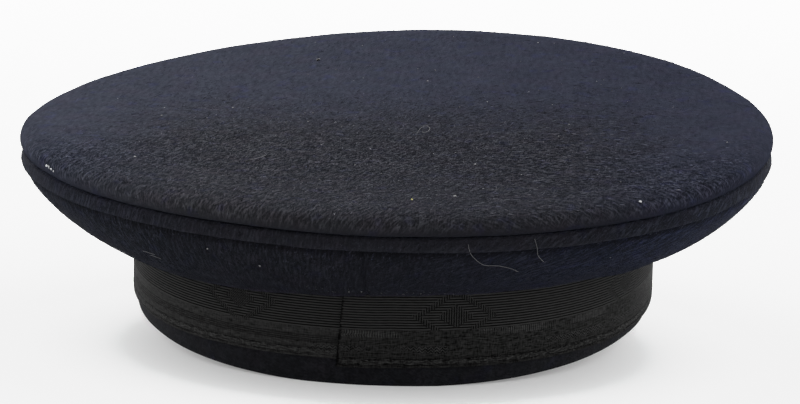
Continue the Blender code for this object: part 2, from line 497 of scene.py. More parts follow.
class Signal:
    """The output of a shader node, with Python's arithmetic on it."""

    def __init__(self, graph: "Graph", socket: bpy.types.NodeSocket) -> None:
        """Wrap an output socket of a graph."""
        self.graph = graph
        self.socket = socket

    def __add__(self, other: "Operand") -> "Signal":
        """Sum."""
        return self.graph.math("ADD", self, other)

    __radd__ = __add__

    def __sub__(self, other: "Operand") -> "Signal":
        """Difference."""
        return self.graph.math("SUBTRACT", self, other)

    def __rsub__(self, other: "Operand") -> "Signal":
        """Difference from a number."""
        return self.graph.math("SUBTRACT", other, self)

    def __mul__(self, other: "Operand") -> "Signal":
        """Product."""
        return self.graph.math("MULTIPLY", self, other)

    __rmul__ = __mul__

    def __truediv__(self, other: "Operand") -> "Signal":
        """Quotient."""
        return self.graph.math("DIVIDE", self, other)

    def __rtruediv__(self, other: "Operand") -> "Signal":
        """Quotient of a number by this."""
        return self.graph.math("DIVIDE", other, self)

    def __mod__(self, other: "Operand") -> "Signal":
        """Remainder, never negative."""
        return self.graph.math("FLOORED_MODULO", self, other)

    def __pow__(self, other: "Operand") -> "Signal":
        """Power."""
        return self.graph.math("POWER", self, other)

    def __abs__(self) -> "Signal":
        """Size without sign."""
        return self.graph.math("ABSOLUTE", self)

    def __gt__(self, other: "Operand") -> "Signal":
        """1 where this is greater, else 0."""
        return self.graph.math("GREATER_THAN", self, other)

    def __lt__(self, other: "Operand") -> "Signal":
        """1 where this is less, else 0."""
        return self.graph.math("LESS_THAN", self, other)

    def wave(self, pitch: float) -> "Signal":
        """A sine from 0 to 1 that repeats every pitch."""
        return self.graph.math("SINE", self * (math.tau / pitch)) * 0.5 + 0.5

    def cell(self, size: float) -> "Signal":
        """The middle of the step of the given size that this falls in."""
        return self.graph.math("FLOOR", self / size) * size + size / 2.0

    def rise(self, low: float, high: float) -> "Signal":
        """A smooth rise from 0 at low to 1 at high."""
        node = self.graph.node(
            "ShaderNodeMapRange", {"interpolation_type": "SMOOTHSTEP"},
            {"Value": self, "From Min": low, "From Max": high, "To Min": 0.0, "To Max": 1.0})
        return Signal(self.graph, node.outputs["Result"])

    def band(self, low: float, high: float, edge: float) -> "Signal":
        """1 between low and high, with soft borders that reach over edge to either side."""
        return self.rise(low - edge, low + edge) * (1.0 - self.rise(high - edge, high + edge))

    def spread(self, middle: float, gain: "Operand") -> "Signal":
        """This with its differences from a middle value made larger by a gain."""
        return self + (self - middle) * gain

    def towards(self, goal: "Operand", share: "Operand") -> "Signal":
        """A share of the way from this to a goal."""
        return self + (goal - self) * share


Operand = Union[Signal, float]


class Graph:
    """The nodes of one finish, or of the world."""

    def __init__(self, tree: bpy.types.NodeTree) -> None:
        """Start on a node tree."""
        self.tree = tree

    def node(self, kind: str, settings: Optional[Mapping[str, object]] = None,
             sockets: Optional[Mapping[Union[str, int], object]] = None) -> bpy.types.Node:
        """Add a node.

        Args:
            kind: The node's type.
            settings: Its settings, such as a Math node's operation, set before its sockets.
            sockets: Values or signals for its inputs, by identifier, name or number.

        Returns:
            The new node.
        """
        node = self.tree.nodes.new(kind)
        for name, value in (settings or {}).items():
            setattr(node, name, value)
        for key, value in (sockets or {}).items():
            socket = self.find_input(node, key)
            if isinstance(value, Signal):
                self.tree.links.new(value.socket, socket)
            else:
                socket.default_value = value
        return node

    @staticmethod
    def find_input(node: bpy.types.Node, key: Union[str, int]) -> bpy.types.NodeSocket:
        """An input of a node, by number, by identifier or by name."""
        if isinstance(key, int):
            return node.inputs[key]
        for socket in node.inputs:
            if socket.identifier == key:
                return socket
        return node.inputs[key]

    def math(self, operation: str, *operands: Operand) -> Signal:
        """One Math node."""
        node = self.node("ShaderNodeMath", {"operation": operation}, dict(enumerate(operands)))
        return Signal(self, node.outputs[0])

    def unrolled(self) -> Signal:
        """The piece's own cloth map, in metres."""
        node = self.node("ShaderNodeUVMap", {"uv_map": CLOTH_UV})
        return Signal(self, node.outputs["UV"])

    def place(self) -> Signal:
        """Object coordinates."""
        node = self.node("ShaderNodeTexCoord")
        return Signal(self, node.outputs["Object"])

    def stored(self, name: str) -> Signal:
        """A number that the piece's mesh stores at its vertices."""
        node = self.node("ShaderNodeAttribute", {"attribute_name": name})
        return Signal(self, node.outputs["Fac"])

    def parts(self, vector: Signal) -> tuple[Signal, Signal, Signal]:
        """The three numbers of a vector."""
        node = self.node("ShaderNodeSeparateXYZ", None, {0: vector})
        return tuple(Signal(self, output) for output in node.outputs)

    def turned(self, vector: Signal, angle: float, size: Row) -> Signal:
        """A vector turned back by an angle about Z and divided by a size on each axis."""
        node = self.node("ShaderNodeMapping", {"vector_type": "TEXTURE"},
                         {"Vector": vector, "Rotation": (0.0, 0.0, angle), "Scale": size})
        return Signal(self, node.outputs[0])

    def noise(self, vector: Signal, size: float = 1.0, detail: float = 2.0,
              roughness: float = 0.5, distortion: float = 0.0) -> Signal:
        """Noise from 0 to 1 whose lumps are about size across."""
        node = self.node("ShaderNodeTexNoise", {"noise_dimensions": "3D"},
                         {"Vector": vector, "Scale": 1.0 / size, "Detail": detail,
                          "Roughness": roughness, "Distortion": distortion})
        return Signal(self, node.outputs["Fac"])

    def streaks(self, vector: Signal, angle: float, length: float, width: float,
                detail: float = 2.0) -> Signal:
        """Noise drawn out along an angle."""
        return self.noise(self.turned(vector, angle, (length, width, length)), 1.0, detail)

    def mix(self, factor: Operand, first: object, second: object, blend: str = "MIX") -> Signal:
        """A colour between two colours."""
        colours = [value if isinstance(value, Signal) else (*value, 1.0)
                   for value in (first, second)]
        node = self.node("ShaderNodeMix", {"data_type": "RGBA", "blend_type": blend},
                         {"Factor_Float": factor, "A_Color": colours[0], "B_Color": colours[1]})
        return Signal(self, node.outputs[2])

    def tinted(self, colour: Signal, place: Signal) -> Signal:
        """A colour with faint patches of purple and of blue."""
        warm = self.noise(place, 9.0 * MM, 2.0).rise(0.40, 0.70)
        cold = self.noise(place, 6.5 * MM, 2.0).rise(0.56, 0.72)
        colour = self.mix(warm * 0.4, colour, (1.15, 0.96, 1.02), "MULTIPLY")
        return self.mix(cold * 0.45, colour, (0.93, 0.95, 1.45), "MULTIPLY")

    def bump(self, height: Signal, distance: float) -> Signal:
        """A normal from a height of 0 to 1 that stands for distance."""
        node = self.node("ShaderNodeBump", None,
                         {"Height": height, "Distance": distance, "Strength": 1.0})
        return Signal(self, node.outputs[0])


def new_graph(name: str) -> tuple[bpy.types.Material, Graph, bpy.types.Node]:
    """A fresh material, its graph and its Principled shader."""
    material = bpy.data.materials.new(name)
    material.use_nodes = True
    graph = Graph(material.node_tree)
    return material, graph, material.node_tree.nodes["Principled BSDF"]


def feed(graph: Graph, shader: bpy.types.Node, sockets: Mapping[str, object]) -> None:
    """Link signals to a shader's sockets, and set its plain numbers and colours."""
    for key, value in sockets.items():
        if isinstance(value, Signal):
            graph.tree.links.new(value.socket, shader.inputs[key])
        elif isinstance(value, tuple):
            shader.inputs[key].default_value = (*value, 1.0)
        else:
            shader.inputs[key].default_value = value


# Finishes


@dataclass(frozen=True)
class NapLie:
    """Which way the nap lies on the cloth map: one direction, turning into another.

    On the +X side it turns back on the way to the front, so that it is the same at both ends of
    the map.
    """

    first: float = math.radians(58.0)
    second: float = math.radians(-14.0)
    turn_from: float = -5.0 * MM
    turn_to: float = 65.0 * MM
    back_from: float = 180.0 * MM
    back_to: float = 320.0 * MM

    def angle_at(self, across: np.ndarray) -> np.ndarray:
        """Direction of the nap at places across the cloth map."""
        share = smooth_rise(across, self.turn_from, self.turn_to)
        share *= 1.0 - smooth_rise(across, self.back_from, self.back_to)
        return self.first + (self.second - self.first) * share

    def turn(self, across: Signal) -> Signal:
        """How far the nap has turned at a place of a finish, from 0 to 1."""
        back = across.rise(self.back_from, self.back_to)
        return across.rise(self.turn_from, self.turn_to) * (1.0 - back)


@dataclass(frozen=True)
class BrushedArea:
    """Where the top's nap is brushed flat and smoother, with painted bluish sheen: front and sides.
    """

    front_from: float = -34.0 * MM
    front_to: float = 44.0 * MM
    side_from: float = 52.0 * MM
    side_to: float = 108.0 * MM
    rear_from: float = -72.0 * MM
    rear_to: float = -22.0 * MM
    border_lumps: float = 24.0 * MM
    border_drift: float = 40.0 * MM
    # Painted sheen: the colour is made bluer and lighter where the nap is brushed.
    tint: Colour = (1.01, 1.08, 1.31)

    def share(self, x: np.ndarray, y: np.ndarray) -> np.ndarray:
        """How far the nap is brushed at places of the plan, from 0 to 1."""
        front = smooth_rise(y, self.front_from, self.front_to)
        side = smooth_rise(np.abs(x), self.side_from, self.side_to)
        side = side * smooth_rise(y, self.rear_from, self.rear_to)
        return 1.0 - (1.0 - front) * (1.0 - side)

    def signals(self, graph: Graph, place: Signal) -> tuple[Signal, Signal]:
        """The same area in a finish, with an uneven border.

        Args:
            graph: The finish's nodes.
            place: Places of the plan.

        Returns:
            How far the nap is brushed, and how far it has the painted bluish sheen, which goes on
            along the sides to the rear.
        """
        x, y, _ = graph.parts(place)
        drift = (graph.noise(place, self.border_lumps, 2.0) - 0.5) * self.border_drift
        front = (y + drift).rise(self.front_from, self.front_to)
        side = (abs(x) + drift).rise(self.side_from, self.side_to)
        calm_side = side * y.rise(self.rear_from, self.rear_to)
        return 1.0 - (1.0 - front) * (1.0 - calm_side), 1.0 - (1.0 - front) * (1.0 - side)


@dataclass(frozen=True)
class NappedWool:
    """Milled wool whose raised fibres lie in short streaks.

    An area with a look of its own is a row of lengths on the cloth map, or of lengths from the
    cloth's hidden end at the seam or the turned-up edge: where it starts and ends, and for a band
    how soft its borders are. A tint multiplies the colour.
    """

    name: str
    lie: NapLie
    colour: Colour = (0.0049, 0.0050, 0.0055)
    pale: Colour = (0.0464, 0.0474, 0.0522)
    streak_length: float = 4.0 * MM
    streak_width: float = 0.78 * MM
    fibre_length: float = 1.3 * MM
    fibre_width: float = 0.16 * MM
    grain_length: float = 0.45 * MM
    grain_width: float = 0.45 * MM
    turn_lumps: float = 45.0 * MM
    turn_drift: float = 60.0 * MM
    cloud_size: float = 16.0 * MM
    pit_size: float = 1.2 * MM
    # Colour of the painted shade in the nap's pits.
    pit_shade_colour: Colour = (0.0025, 0.0025, 0.003)
    relief: float = 0.8 * MM
    specular: float = 0.0
    sheen: float = 0.014
    brushed: Optional[BrushedArea] = None
    ruffle_border: float = 18.0 * MM
    mottle_length: float = 5.0 * MM
    mottle_width: float = 1.5 * MM
    right_from: float = -10.0 * MM
    right_to: float = 100.0 * MM
    right_fade: Row = (170.0 * MM, 300.0 * MM)
    right_tint: Colour = (1.0, 1.0, 1.0)
    end_contrast: float = 0.0
    end_area: Row = (85.0 * MM, 230.0 * MM, 45.0 * MM)
    end_tint: Colour = (0.88, 0.94, 1.12)
    # Painted light in the crease: where it ends, its soft border and how much lighter it is.
    crease_end: float = 0.0
    crease_border: float = 1.0 * MM
    crease_painted_light: Colour = (2.4, 2.4, 2.4)
    # Painted highlight along the welt's lip: its strength and where it lies.
    lip_painted_highlight: float = 0.0
    lip_highlight_area: Row = (4.5 * MM, 5.7 * MM, 0.5 * MM)
    # Painted shade just under the welt's lip: its strength, where it fades out and its colour.
    seam_shade: float = 0.0
    seam_shade_area: Row = (1.5 * MM, 3.2 * MM)
    seam_shade_colour: Colour = (0.0012, 0.0012, 0.0015)
    # Purple lint at the hem: its strength, where it lies, its patches and its tint.
    hem_lint: float = 0.0
    hem_area: Row = (3.5 * MM, 8.2 * MM, 1.0 * MM)
    hem_patches: float = 6.0 * MM
    hem_tint: Colour = (1.9, 1.45, 1.7)
    # Painted shade on the top's roll: its strength, where it fades out and its colour.
    roll_shade: float = 0.0
    roll_shade_area: Row = (4.2 * MM, 8.6 * MM)
    roll_shade_tint: Colour = (0.45, 0.45, 0.48)

    def material(self) -> bpy.types.Material:
        """Build the material."""
        material, graph, shader = new_graph(self.name)
        cloth = graph.unrolled()
        across, along, _ = graph.parts(cloth)
        rest = graph.stored(REST)
        tufts, fibres, grain = self.nap(graph, cloth, across)
        clouds = graph.noise(cloth, self.cloud_size, 3.0)
        shaded_pits = graph.noise(cloth, self.pit_size, 1.0).rise(0.30, 0.20)
        height = tufts * 0.44 + fibres * 0.30 + grain * 0.26 - shaded_pits * 0.30
        tone = (tufts.rise(0.45, 0.66) * 0.56 + fibres.rise(0.47, 0.70) * 0.28
                + grain.rise(0.47, 0.68) * 0.36) * (clouds * 0.9 + 0.45)
        if self.brushed:
            ruffled = along.band(self.brushed.rear_from, self.brushed.rear_to, self.ruffle_border)
            tone = tone.spread(0.34, ruffled * 0.45 - 0.20)
            calm, blue = self.brushed.signals(graph, cloth)
            mottles = graph.streaks(cloth, QUARTER_TURN, self.mottle_length, self.mottle_width)
            lumps = mottles * 0.44 + tufts * 0.26 + clouds * 0.24 - 0.15
            tone = tone.towards(lumps, calm * 0.86)
            height = height * (1.0 - calm * 0.65)
            shaded_pits = shaded_pits * (1.0 - calm)
        if self.end_contrast > 0.0:
            ends = abs(across).band(*self.end_area)
            tone = tone.spread(0.33, ends * self.end_contrast - 0.25)
        # Painted shade: towards the crease the roll gets calmer tones and less relief here, and a
        # darker colour below.
        if self.roll_shade > 0.0:
            under = 1.0 - rest.rise(*self.roll_shade_area)
            tone = tone.towards(0.28, under * 0.8)
            height = height * (1.0 - under * 0.7)
            shaded_pits = shaded_pits * (1.0 - under)
        colour = graph.mix(tone, self.colour, self.pale)
        colour = graph.tinted(colour, cloth)
        # Painted shade: the pits, which are hollows in the bump, are darker.
        colour = graph.mix(shaded_pits * 0.5, colour, self.pit_shade_colour)
        if self.brushed:
            # Painted sheen: the brushed area is bluer and lighter.
            colour = graph.mix(blue, colour, self.brushed.tint, "MULTIPLY")
        right = across.rise(self.right_from, self.right_to)
        right = right * (1.0 - across.rise(*self.right_fade))
        colour = graph.mix(right, colour, self.right_tint, "MULTIPLY")
        if self.end_contrast > 0.0:
            colour = graph.mix(ends, colour, self.end_tint, "MULTIPLY")
        colour = self.edged(graph, cloth, clouds, rest, colour)
        # Painted shade on the roll, darker towards the crease.
        if self.roll_shade > 0.0:
            colour = graph.mix(under * self.roll_shade, colour, self.roll_shade_tint, "MULTIPLY")
        feed(graph, shader, {
            "Base Color": colour,
            "Roughness": 0.92,
            "Normal": graph.bump(height, self.relief),
            "Specular IOR Level": self.specular,
            "Sheen Weight": self.sheen,
            "Sheen Roughness": 0.45,
            "Sheen Tint": NAP_SHEEN,
        })
        return material

    def nap(self, graph: Graph, cloth: Signal, across: Signal) -> tuple[Signal, Signal, Signal]:
        """The texture of the nap.

        Args:
            graph: The finish's nodes.
            cloth: Places on the cloth map.
            across: Lengths across it.

        Returns:
            The tufts, the single fibres and the grain under them, each from 0 to 1.
        """
        drift = graph.noise(cloth, self.turn_lumps, 1.0) - 0.5
        turn = self.lie.turn(across + drift * self.turn_drift)
        return (self.blended(graph, cloth, turn, self.streak_length, self.streak_width, 2.5),
                self.blended(graph, cloth, turn, self.fibre_length, self.fibre_width, 1.0),
                graph.streaks(cloth, QUARTER_TURN, self.grain_length, self.grain_width))

    def blended(self, graph: Graph, cloth: Signal, turn: Signal, length: float, width: float,
                detail: float) -> Signal:
        """Streaks that turn from the first direction of the nap to the second.

        Args:
            graph: The finish's nodes.
            cloth: Places on the cloth map.
            turn: How far the nap has turned.
            length: Length of the streaks.
            width: Their width.
            detail: How much finer noise they have.

        Returns:
            The streaks, from 0 to 1.
        """
        first = graph.streaks(cloth, self.lie.first, length, width, detail)
        second = graph.streaks(cloth, self.lie.second, length, width, detail)
        return first * (1.0 - turn) + second * turn

    def edged(self, graph: Graph, cloth: Signal, clouds: Signal, rest: Signal, colour: Signal
              ) -> Signal:
        """The colour with the looks of the cloth's edges that the finish has.

        Args:
            graph: The finish's nodes.
            cloth: Places on the cloth map.
            clouds: Soft patches over the cloth.
            rest: Lengths from the cloth's hidden end.
            colour: The colour so far.

        Returns:
            The colour with painted light in the crease, a painted highlight on the lip, painted
            shade under the lip and purple lint at the hem.
        """
        _, along, _ = graph.parts(cloth)
        # Painted light: the cloth tucked into the crease is made lighter, so the crease is less
        # dark.
        if self.crease_end > 0.0:
            crease = 1.0 - rest.rise(self.crease_end - self.crease_border, self.crease_end)
            colour = graph.mix(crease, colour, self.crease_painted_light, "MULTIPLY")
        # Painted highlight: a paler band along the welt's lip, where its fold catches the light.
        if self.lip_painted_highlight > 0.0:
            lip_highlight = along.band(*self.lip_highlight_area) * (clouds + 0.3)
            colour = graph.mix(lip_highlight * self.lip_painted_highlight, colour, self.pale)
        # Painted shade: the side is darker just under the welt's lip, where the lip shades it.
        if self.seam_shade > 0.0:
            shade = 1.0 - along.rise(*self.seam_shade_area)
            colour = graph.mix(shade * self.seam_shade, colour, self.seam_shade_colour)
        # Purple lint in patches along the fold at the hem.
        if self.hem_lint > 0.0:
            patches = graph.noise(cloth, self.hem_patches, 2.0).rise(0.35, 0.60)
            hem = rest.band(*self.hem_area) * patches
            colour = graph.mix(hem * self.hem_lint, colour, self.hem_tint, "MULTIPLY")
        return colour


@dataclass(frozen=True)
class RaisedFibres:
    """The fibres of the nap, each with a tone of its own, and a few pale stray ones."""

    name: str
    colour: Colour = (0.0050, 0.0051, 0.0057)
    pale: Colour = (0.049, 0.0505, 0.0585)
    stray: Colour = (0.17, 0.17, 0.19)
    sheen: float = 0.008
    brushed: Optional[BrushedArea] = None

    def material(self) -> bpy.types.Material:
        """Build the material."""
        material, graph, shader = new_graph(self.name)
        tone = graph.stored(TONE)
        place = graph.place()
        clouds = graph.noise(place, 15.0 * MM, 3.0) * 1.2 + 0.4
        colour = graph.mix(tone.rise(0.0, 0.95) * clouds, self.colour, self.pale)
        colour = graph.tinted(colour, place)
        if self.brushed:
            _, blue = self.brushed.signals(graph, place)
            # Painted sheen: the fibres in the brushed area are bluer and lighter.
            colour = graph.mix(blue, colour, self.brushed.tint, "MULTIPLY")
        feed(graph, shader, {
            "Base Color": graph.mix(tone > 0.99, colour, self.stray),
            "Roughness": 0.8,
            "Specular IOR Level": 0.0,
            "Sheen Weight": self.sheen,
            "Sheen Tint": NAP_SHEEN,
        })
        return material


@dataclass(frozen=True)
class SmoothWool:
    """Closely shorn wool, as on the lower edge of the band."""

    name: str
    colour: Colour = (0.0033, 0.0035, 0.0041)
    pale: Colour = (0.0170, 0.0178, 0.0210)
    relief: float = 0.25 * MM

    def material(self) -> bpy.types.Material:
        """Build the material."""
        material, graph, shader = new_graph(self.name)
        cloth = graph.unrolled()
        felt = graph.noise(cloth, 0.8 * MM, 3.0)
        fibres = graph.streaks(cloth, math.radians(25.0), 1.6 * MM, 0.3 * MM, 1.0)
        blotches = graph.noise(cloth, 2.6 * MM, 2.0).rise(0.42, 0.68)
        clouds = graph.noise(cloth, 12.0 * MM, 2.0)
        tone = (felt.rise(0.4, 0.7) * 0.5 + fibres.rise(0.42, 0.7) * 0.5 + blotches * 0.4) * clouds
        colour = graph.mix(tone * 0.8, self.colour, self.pale)
        feed(graph, shader, {
            "Base Color": graph.tinted(colour, cloth),
            "Roughness": 0.9,
            "Normal": graph.bump(felt * 0.6 + fibres * 0.4, self.relief),
            "Specular IOR Level": 0.02,
            "Sheen Weight": 0.01,
            "Sheen Roughness": 0.5,
            "Sheen Tint": (0.85, 0.9, 1.0),
        })
        return material


@dataclass(frozen=True)
class RibbonRows:
    """Heights above the ribbon's lower edge at which its weave changes."""

    low_groove: float = 1.0 * MM
    high_groove: float = 2.9 * MM
    rib_start_right: float = 12.4 * MM
    rib_start_left: float = 9.6 * MM
    rib_pitch: float = 0.82 * MM
    fine_pitch: float = 0.62 * MM

    def rib_start(self, share: Operand) -> Operand:
        """Height at which the ribs start, at a share of the way along the ribbon."""
        return self.rib_start_right + share * (self.rib_start_left - self.rib_start_right)


@dataclass(frozen=True)
class WovenRibbon:
    """Black ribbed braid with a satin border, a corded edge and small woven lozenges."""

    name: str
    rows: RibbonRows
    length: float
    colour: Colour = (0.0018, 0.0018, 0.0018)
    lit: Colour = (0.0285, 0.0285, 0.0282)
    # Colour of the dark woven rows and of the painted shadow along the ribbon's right end.
    dark: Colour = (0.0010, 0.0010, 0.0010)
    relief: float = 0.25 * MM
    dash_pitch: float = 0.78 * MM
    zigzag_pitch: float = 1.8 * MM
    twill_pitch: float = 0.95 * MM
    motifs: int = 8
    first_motif: float = 35.5 * MM
    last_motif: float = 33.5 * MM
    motif_middle: float = 16.5 * MM
    motif_half_width: float = 14.0 * MM
    motif_half_height: float = 9.0 * MM
    motif_step: tuple[float, float] = (0.7 * MM, 0.82 * MM)

    def material(self) -> bpy.types.Material:
        """Build the material."""
        material, graph, shader = new_graph(self.name)
        cloth = graph.unrolled()
        around, up, _ = graph.parts(cloth)
        share = around / self.length
        over = up - self.rows.rib_start(share)
        patches = graph.noise(graph.turned(cloth, 0.0, (26.0 * MM, 9.0 * MM, 26.0 * MM)), 1.0, 1.0)
        threads = graph.streaks(cloth, 0.0, 2.6 * MM, 0.42 * MM, 1.0)
        slubs = graph.streaks(cloth, QUARTER_TURN, 1.8 * MM, 0.40 * MM, 1.0)
        jag = graph.noise(cloth, 0.9 * MM, 2.0)
        broken = graph.noise(graph.turned(cloth, 0.0, (5.0 * MM, 1.5 * MM, 5.0 * MM)), 1.0, 2.0)
        ribs = over.rise(-0.2 * MM, 0.2 * MM)
        border = 1.0 - ribs
        motif = self.motif(around, up)
        dash = around.wave(self.dash_pitch).rise(0.25, 0.75)
        left = share.rise(0.35, 0.65)
        dashed = border * over.band(-2.4 * MM, -0.2 * MM, 0.15 * MM) * patches.rise(0.45, 0.55)
        dashed = dashed * (1.0 - left)
        zigzag = abs(around % self.zigzag_pitch - self.zigzag_pitch / 2.0)
        twill = (zigzag + up).wave(self.twill_pitch).rise(0.25, 0.75)
        chevron = border * over.band(-7.4 * MM, -5.2 * MM, 0.2 * MM) * patches.rise(0.46, 0.58)
        lines = left * over.band(-4.9 * MM, -2.3 * MM, 0.1 * MM) * (
            1.0 - over.wave(self.rows.fine_pitch).rise(0.3, 0.8))
        low, high = self.rows.low_groove, self.rows.high_groove
        grooves = (up + (jag - 0.5) * (1.5 * MM)).band(low - 0.2 * MM, low + 0.2 * MM, 0.2 * MM)
        grooves = grooves + (up + (jag - 0.5) * (1.9 * MM)).band(
            high - 0.25 * MM, high + 0.25 * MM, 0.25 * MM)
        grooves = grooves * broken.rise(0.34, 0.54)
        flecks = graph.streaks(cloth, 0.0, 1.5 * MM, 0.55 * MM, 1.0).rise(0.46, 0.60) * up.band(
            low, high, 0.3 * MM)
        # Painted highlight: the ribs' raised rows, which the mesh also has, are paler than the
        # hollows.
        rib_highlight = over.wave(self.rows.rib_pitch).rise(0.22, 0.72)
        plain = 0.26 + left * 0.15 + (threads - 0.5) * 1.1 + (slubs - 0.5) * 0.9
        bordered = plain + dash * dashed * 0.5 + (twill - 0.3) * chevron * 0.5 + flecks * 0.45
        ribbed = (rib_highlight * 0.62 + (threads - 0.5) * 0.5) * (1.0 - motif) + (
            dash * 0.6 + (slubs - 0.5) * 0.4) * motif
        tone = bordered * border * (1.0 - lines * 0.5) + ribbed * ribs
        colour = graph.mix(tone, self.colour, self.lit)
        # Painted shadow: a dark, jagged line along the right end, where it lies over the left end.
        end = (1.0 - (around + (jag - 0.5) * (2.4 * MM)).rise(0.2 * MM, 0.7 * MM)) * (
            broken.rise(0.30, 0.52) * 0.7 + 0.3)
        colour = graph.mix(grooves * 0.6 + end, colour, self.dark)
        height = (threads * 0.35 + slubs * 0.25 + dash * (dashed + motif * 1.4) * 0.8
                  + (twill * chevron + flecks) * 0.8 - grooves * 1.1 - lines * 0.6)
        feed(graph, shader, {
            "Base Color": colour,
            "Roughness": 0.52 + patches * 0.12,
            "Normal": graph.bump(height, self.relief),
            "Specular IOR Level": 0.004,
        })
        return material

    def motif(self, around: Signal, up: Signal) -> Signal:
        """The woven figures: plain lozenges inside lozenges, with stepped edges.

        Args:
            around: Lengths around the ribbon.
            up: Heights above its lower edge.

        Returns:
            1 on the figures' threads, else 0.
        """
        pitch = (self.length - self.first_motif - self.last_motif) / (self.motifs - 1)
        turn = (around + pitch / 2.0 - self.first_motif) % pitch
        step_along, step_up = self.motif_step
        across = abs(turn.cell(step_along) - pitch / 2.0) / self.motif_half_width
        height = abs(up.cell(step_up) - self.motif_middle) / self.motif_half_height
        reach = across + height
        return reach.band(0.78, 0.98, 0.02) + (reach < 0.42)


@dataclass(frozen=True)
class PatentLeather:
    """Lacquered black leather with faint handling marks."""

    name: str
    colour: Colour = (0.0022, 0.0022, 0.0025)
    pores: Colour = (0.0045, 0.0045, 0.0050)
    relief: float = 0.12 * MM

    def material(self) -> bpy.types.Material:
        """Build the material."""
        material, graph, shader = new_graph(self.name)
        place = graph.place()
        ripple = graph.noise(place, 9.0 * MM, 2.0)
        pores = graph.noise(place, 0.8 * MM, 2.0)
        scuffs = graph.noise(graph.turned(place, 0.5, (14.0 * MM, 0.5 * MM, 5.0 * MM)), 1.0, 3.0)
        feed(graph, shader, {
            "Base Color": graph.mix(pores * 0.5, self.colour, self.pores),
            "Roughness": 0.27 + scuffs.rise(0.55, 0.75) * 0.16 + ripple * 0.05,
            "Normal": graph.bump(ripple * 0.8 + pores * 0.2, self.relief),
            "Specular IOR Level": 0.08,
            "Coat Weight": 0.03,
            "Coat Roughness": 0.10,
        })
        return material


@dataclass(frozen=True)
class Dust:
    """Pale lint, with a yellowish tinge where its tone is full."""

    name: str
    grey: Colour = (0.020, 0.019, 0.020)
    white: Colour = (0.46, 0.46, 0.48)
    yellow: Colour = (0.42, 0.38, 0.12)

    def material(self) -> bpy.types.Material:
        """Build the material."""
        material, graph, shader = new_graph(self.name)
        tone = graph.stored(TONE)
        colour = graph.mix(tone.rise(0.0, 0.9), self.grey, self.white)
        feed(graph, shader, {
            "Base Color": graph.mix(tone > 0.99, colour, self.yellow),
            "Roughness": 0.8,
        })
        return material


# Pieces


@dataclass
class CrownTop:
    """The round top of the crown, rolled over at its edge and tucked into the seam."""

    shape: CapShape
    axes: CapAxes
    roll: tuple[Row, ...] = (
        # (share of the roll's reach, share of its height)
        (-2.00, 0.03), (-1.10, 0.00), (-0.40, 0.01), (0.20, 0.06), (0.68, 0.16), (0.93, 0.29),
        (1.00, 0.44), (0.88, 0.59), (0.55, 0.72), (0.00, 0.815), (-0.80, 0.89), (-1.90, 0.945),
        (-3.40, 0.98), (-5.20, 0.995),
    )
    spread: tuple[Row, ...] = (
        # (share of the way out from the middle to the rim, share of the top's sag)
        (0.895, 0.03), (0.82, 0.15), (0.72, 0.33), (0.60, 0.54), (0.48, 0.70), (0.36, 0.84),
        (0.25, 0.93), (0.15, 0.98), (0.07, 1.00), (0.0, 1.0),
    )
    swell: float = 0.30 * MM
    ripple: float = 0.13 * MM
    bulge: float = 0.22 * MM

    def profile(self, angle: float) -> list[Vector]:
        """The section at an angle, from the seam in to the middle."""
        shape = self.shape
        rim = shape.rim_height(angle)
        points = []
        for out_share, up_share in smooth_rows(self.roll, 3):
            place = shape.rim_point(angle, shape.roll_out * out_share)
            points.append(Vector((*place, rim + shape.gap / 2.0 + shape.roll_height * up_share)))
        edge = shape.rim_point(angle)
        for reach, sag in smooth_rows(self.spread, 4):
            wave = (rim - shape.rim[0]) * reach
            height = shape.middle_height() + wave + shape.top_sag * (1.0 - sag)
            points.append(Vector((*(edge * reach), height)))
        return [self.uneven(point, edge.length) for point in points]

    def uneven(self, point: Vector, edge: float) -> Vector:
        """A point of the top with the cloth's own unevenness.

        Args:
            point: The point without it.
            edge: How far the rim is from the cap's middle there.

        Returns:
            The point with it.
        """
        reach = Vector((point.x, point.y)).length / edge
        calm = smooth_step(0.0, 0.12, reach)
        rise = (lump(point, 42.0 * MM, 3.1) * self.swell
                + lump(point, 11.0 * MM, 8.3) * self.ripple * calm)
        out = Vector((point.x, point.y, 0.0))
        out = out.normalized() if out.length > 1e-9 else out
        bulge = lump(point, 16.0 * MM, 5.7) * self.bulge * smooth_step(0.94, 0.99, reach)
        return point + Vector((0.0, 0.0, rise)) + out * bulge

    def build(self, finish: NappedWool) -> bpy.types.Object:
        """Build and dress the top."""
        form = Shell().build(self.profile, from_middle=True)
        piece = as_piece("crown_top_cloth", form, self.axes)
        add_wall(piece, self.shape.top_wall)
        piece.data.materials.append(finish.material())
        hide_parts("crown_top")
        return piece


@dataclass
class CrownWelt:
    """The welt of the same cloth under the top's edge, with a lip that stands proud."""

    shape: CapShape
    axes: CapAxes
    section: tuple[Row, ...] = (
        # (millimetres out from the seam's line, share down the welt)
        (-2.8, 0.80), (-1.2, 0.93), (0.2, 1.03), (0.95, 1.07), (1.38, 1.00), (1.42, 0.88),
        (1.20, 0.70), (0.98, 0.48), (0.82, 0.28), (0.60, 0.12), (0.10, 0.02), (-1.0, -0.02),
        (-2.8, -0.06), (-3.7, -0.45),
    )
    skin: float = 0.9 * MM
    lip_waver: float = 0.28 * MM

    def profile(self, angle: float) -> list[Vector]:
        """The section at an angle, from behind the lip up to the seam."""
        shape = self.shape
        top = shape.rim_height(angle) - shape.gap / 2.0
        span = shape.welt_height - shape.gap
        points = []
        for out, down in smooth_rows(self.section, 3):
            place = shape.rim_point(angle, out * MM)
            point = Vector((*place, top - span * down))
            lip = smooth_step(0.3, 1.0, down)
            point.z += lump(point, 13.0 * MM, 1.7) * self.lip_waver * lip
            points.append(point)
        return points

    def build(self, finish: NappedWool) -> bpy.types.Object:
        """Build and dress the welt."""
        form = Shell().build(self.profile)
        piece = as_piece("crown_welt_cloth", form, self.axes)
        add_wall(piece, self.skin)
        piece.data.materials.append(finish.material())
        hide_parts("crown_welt")
        return piece


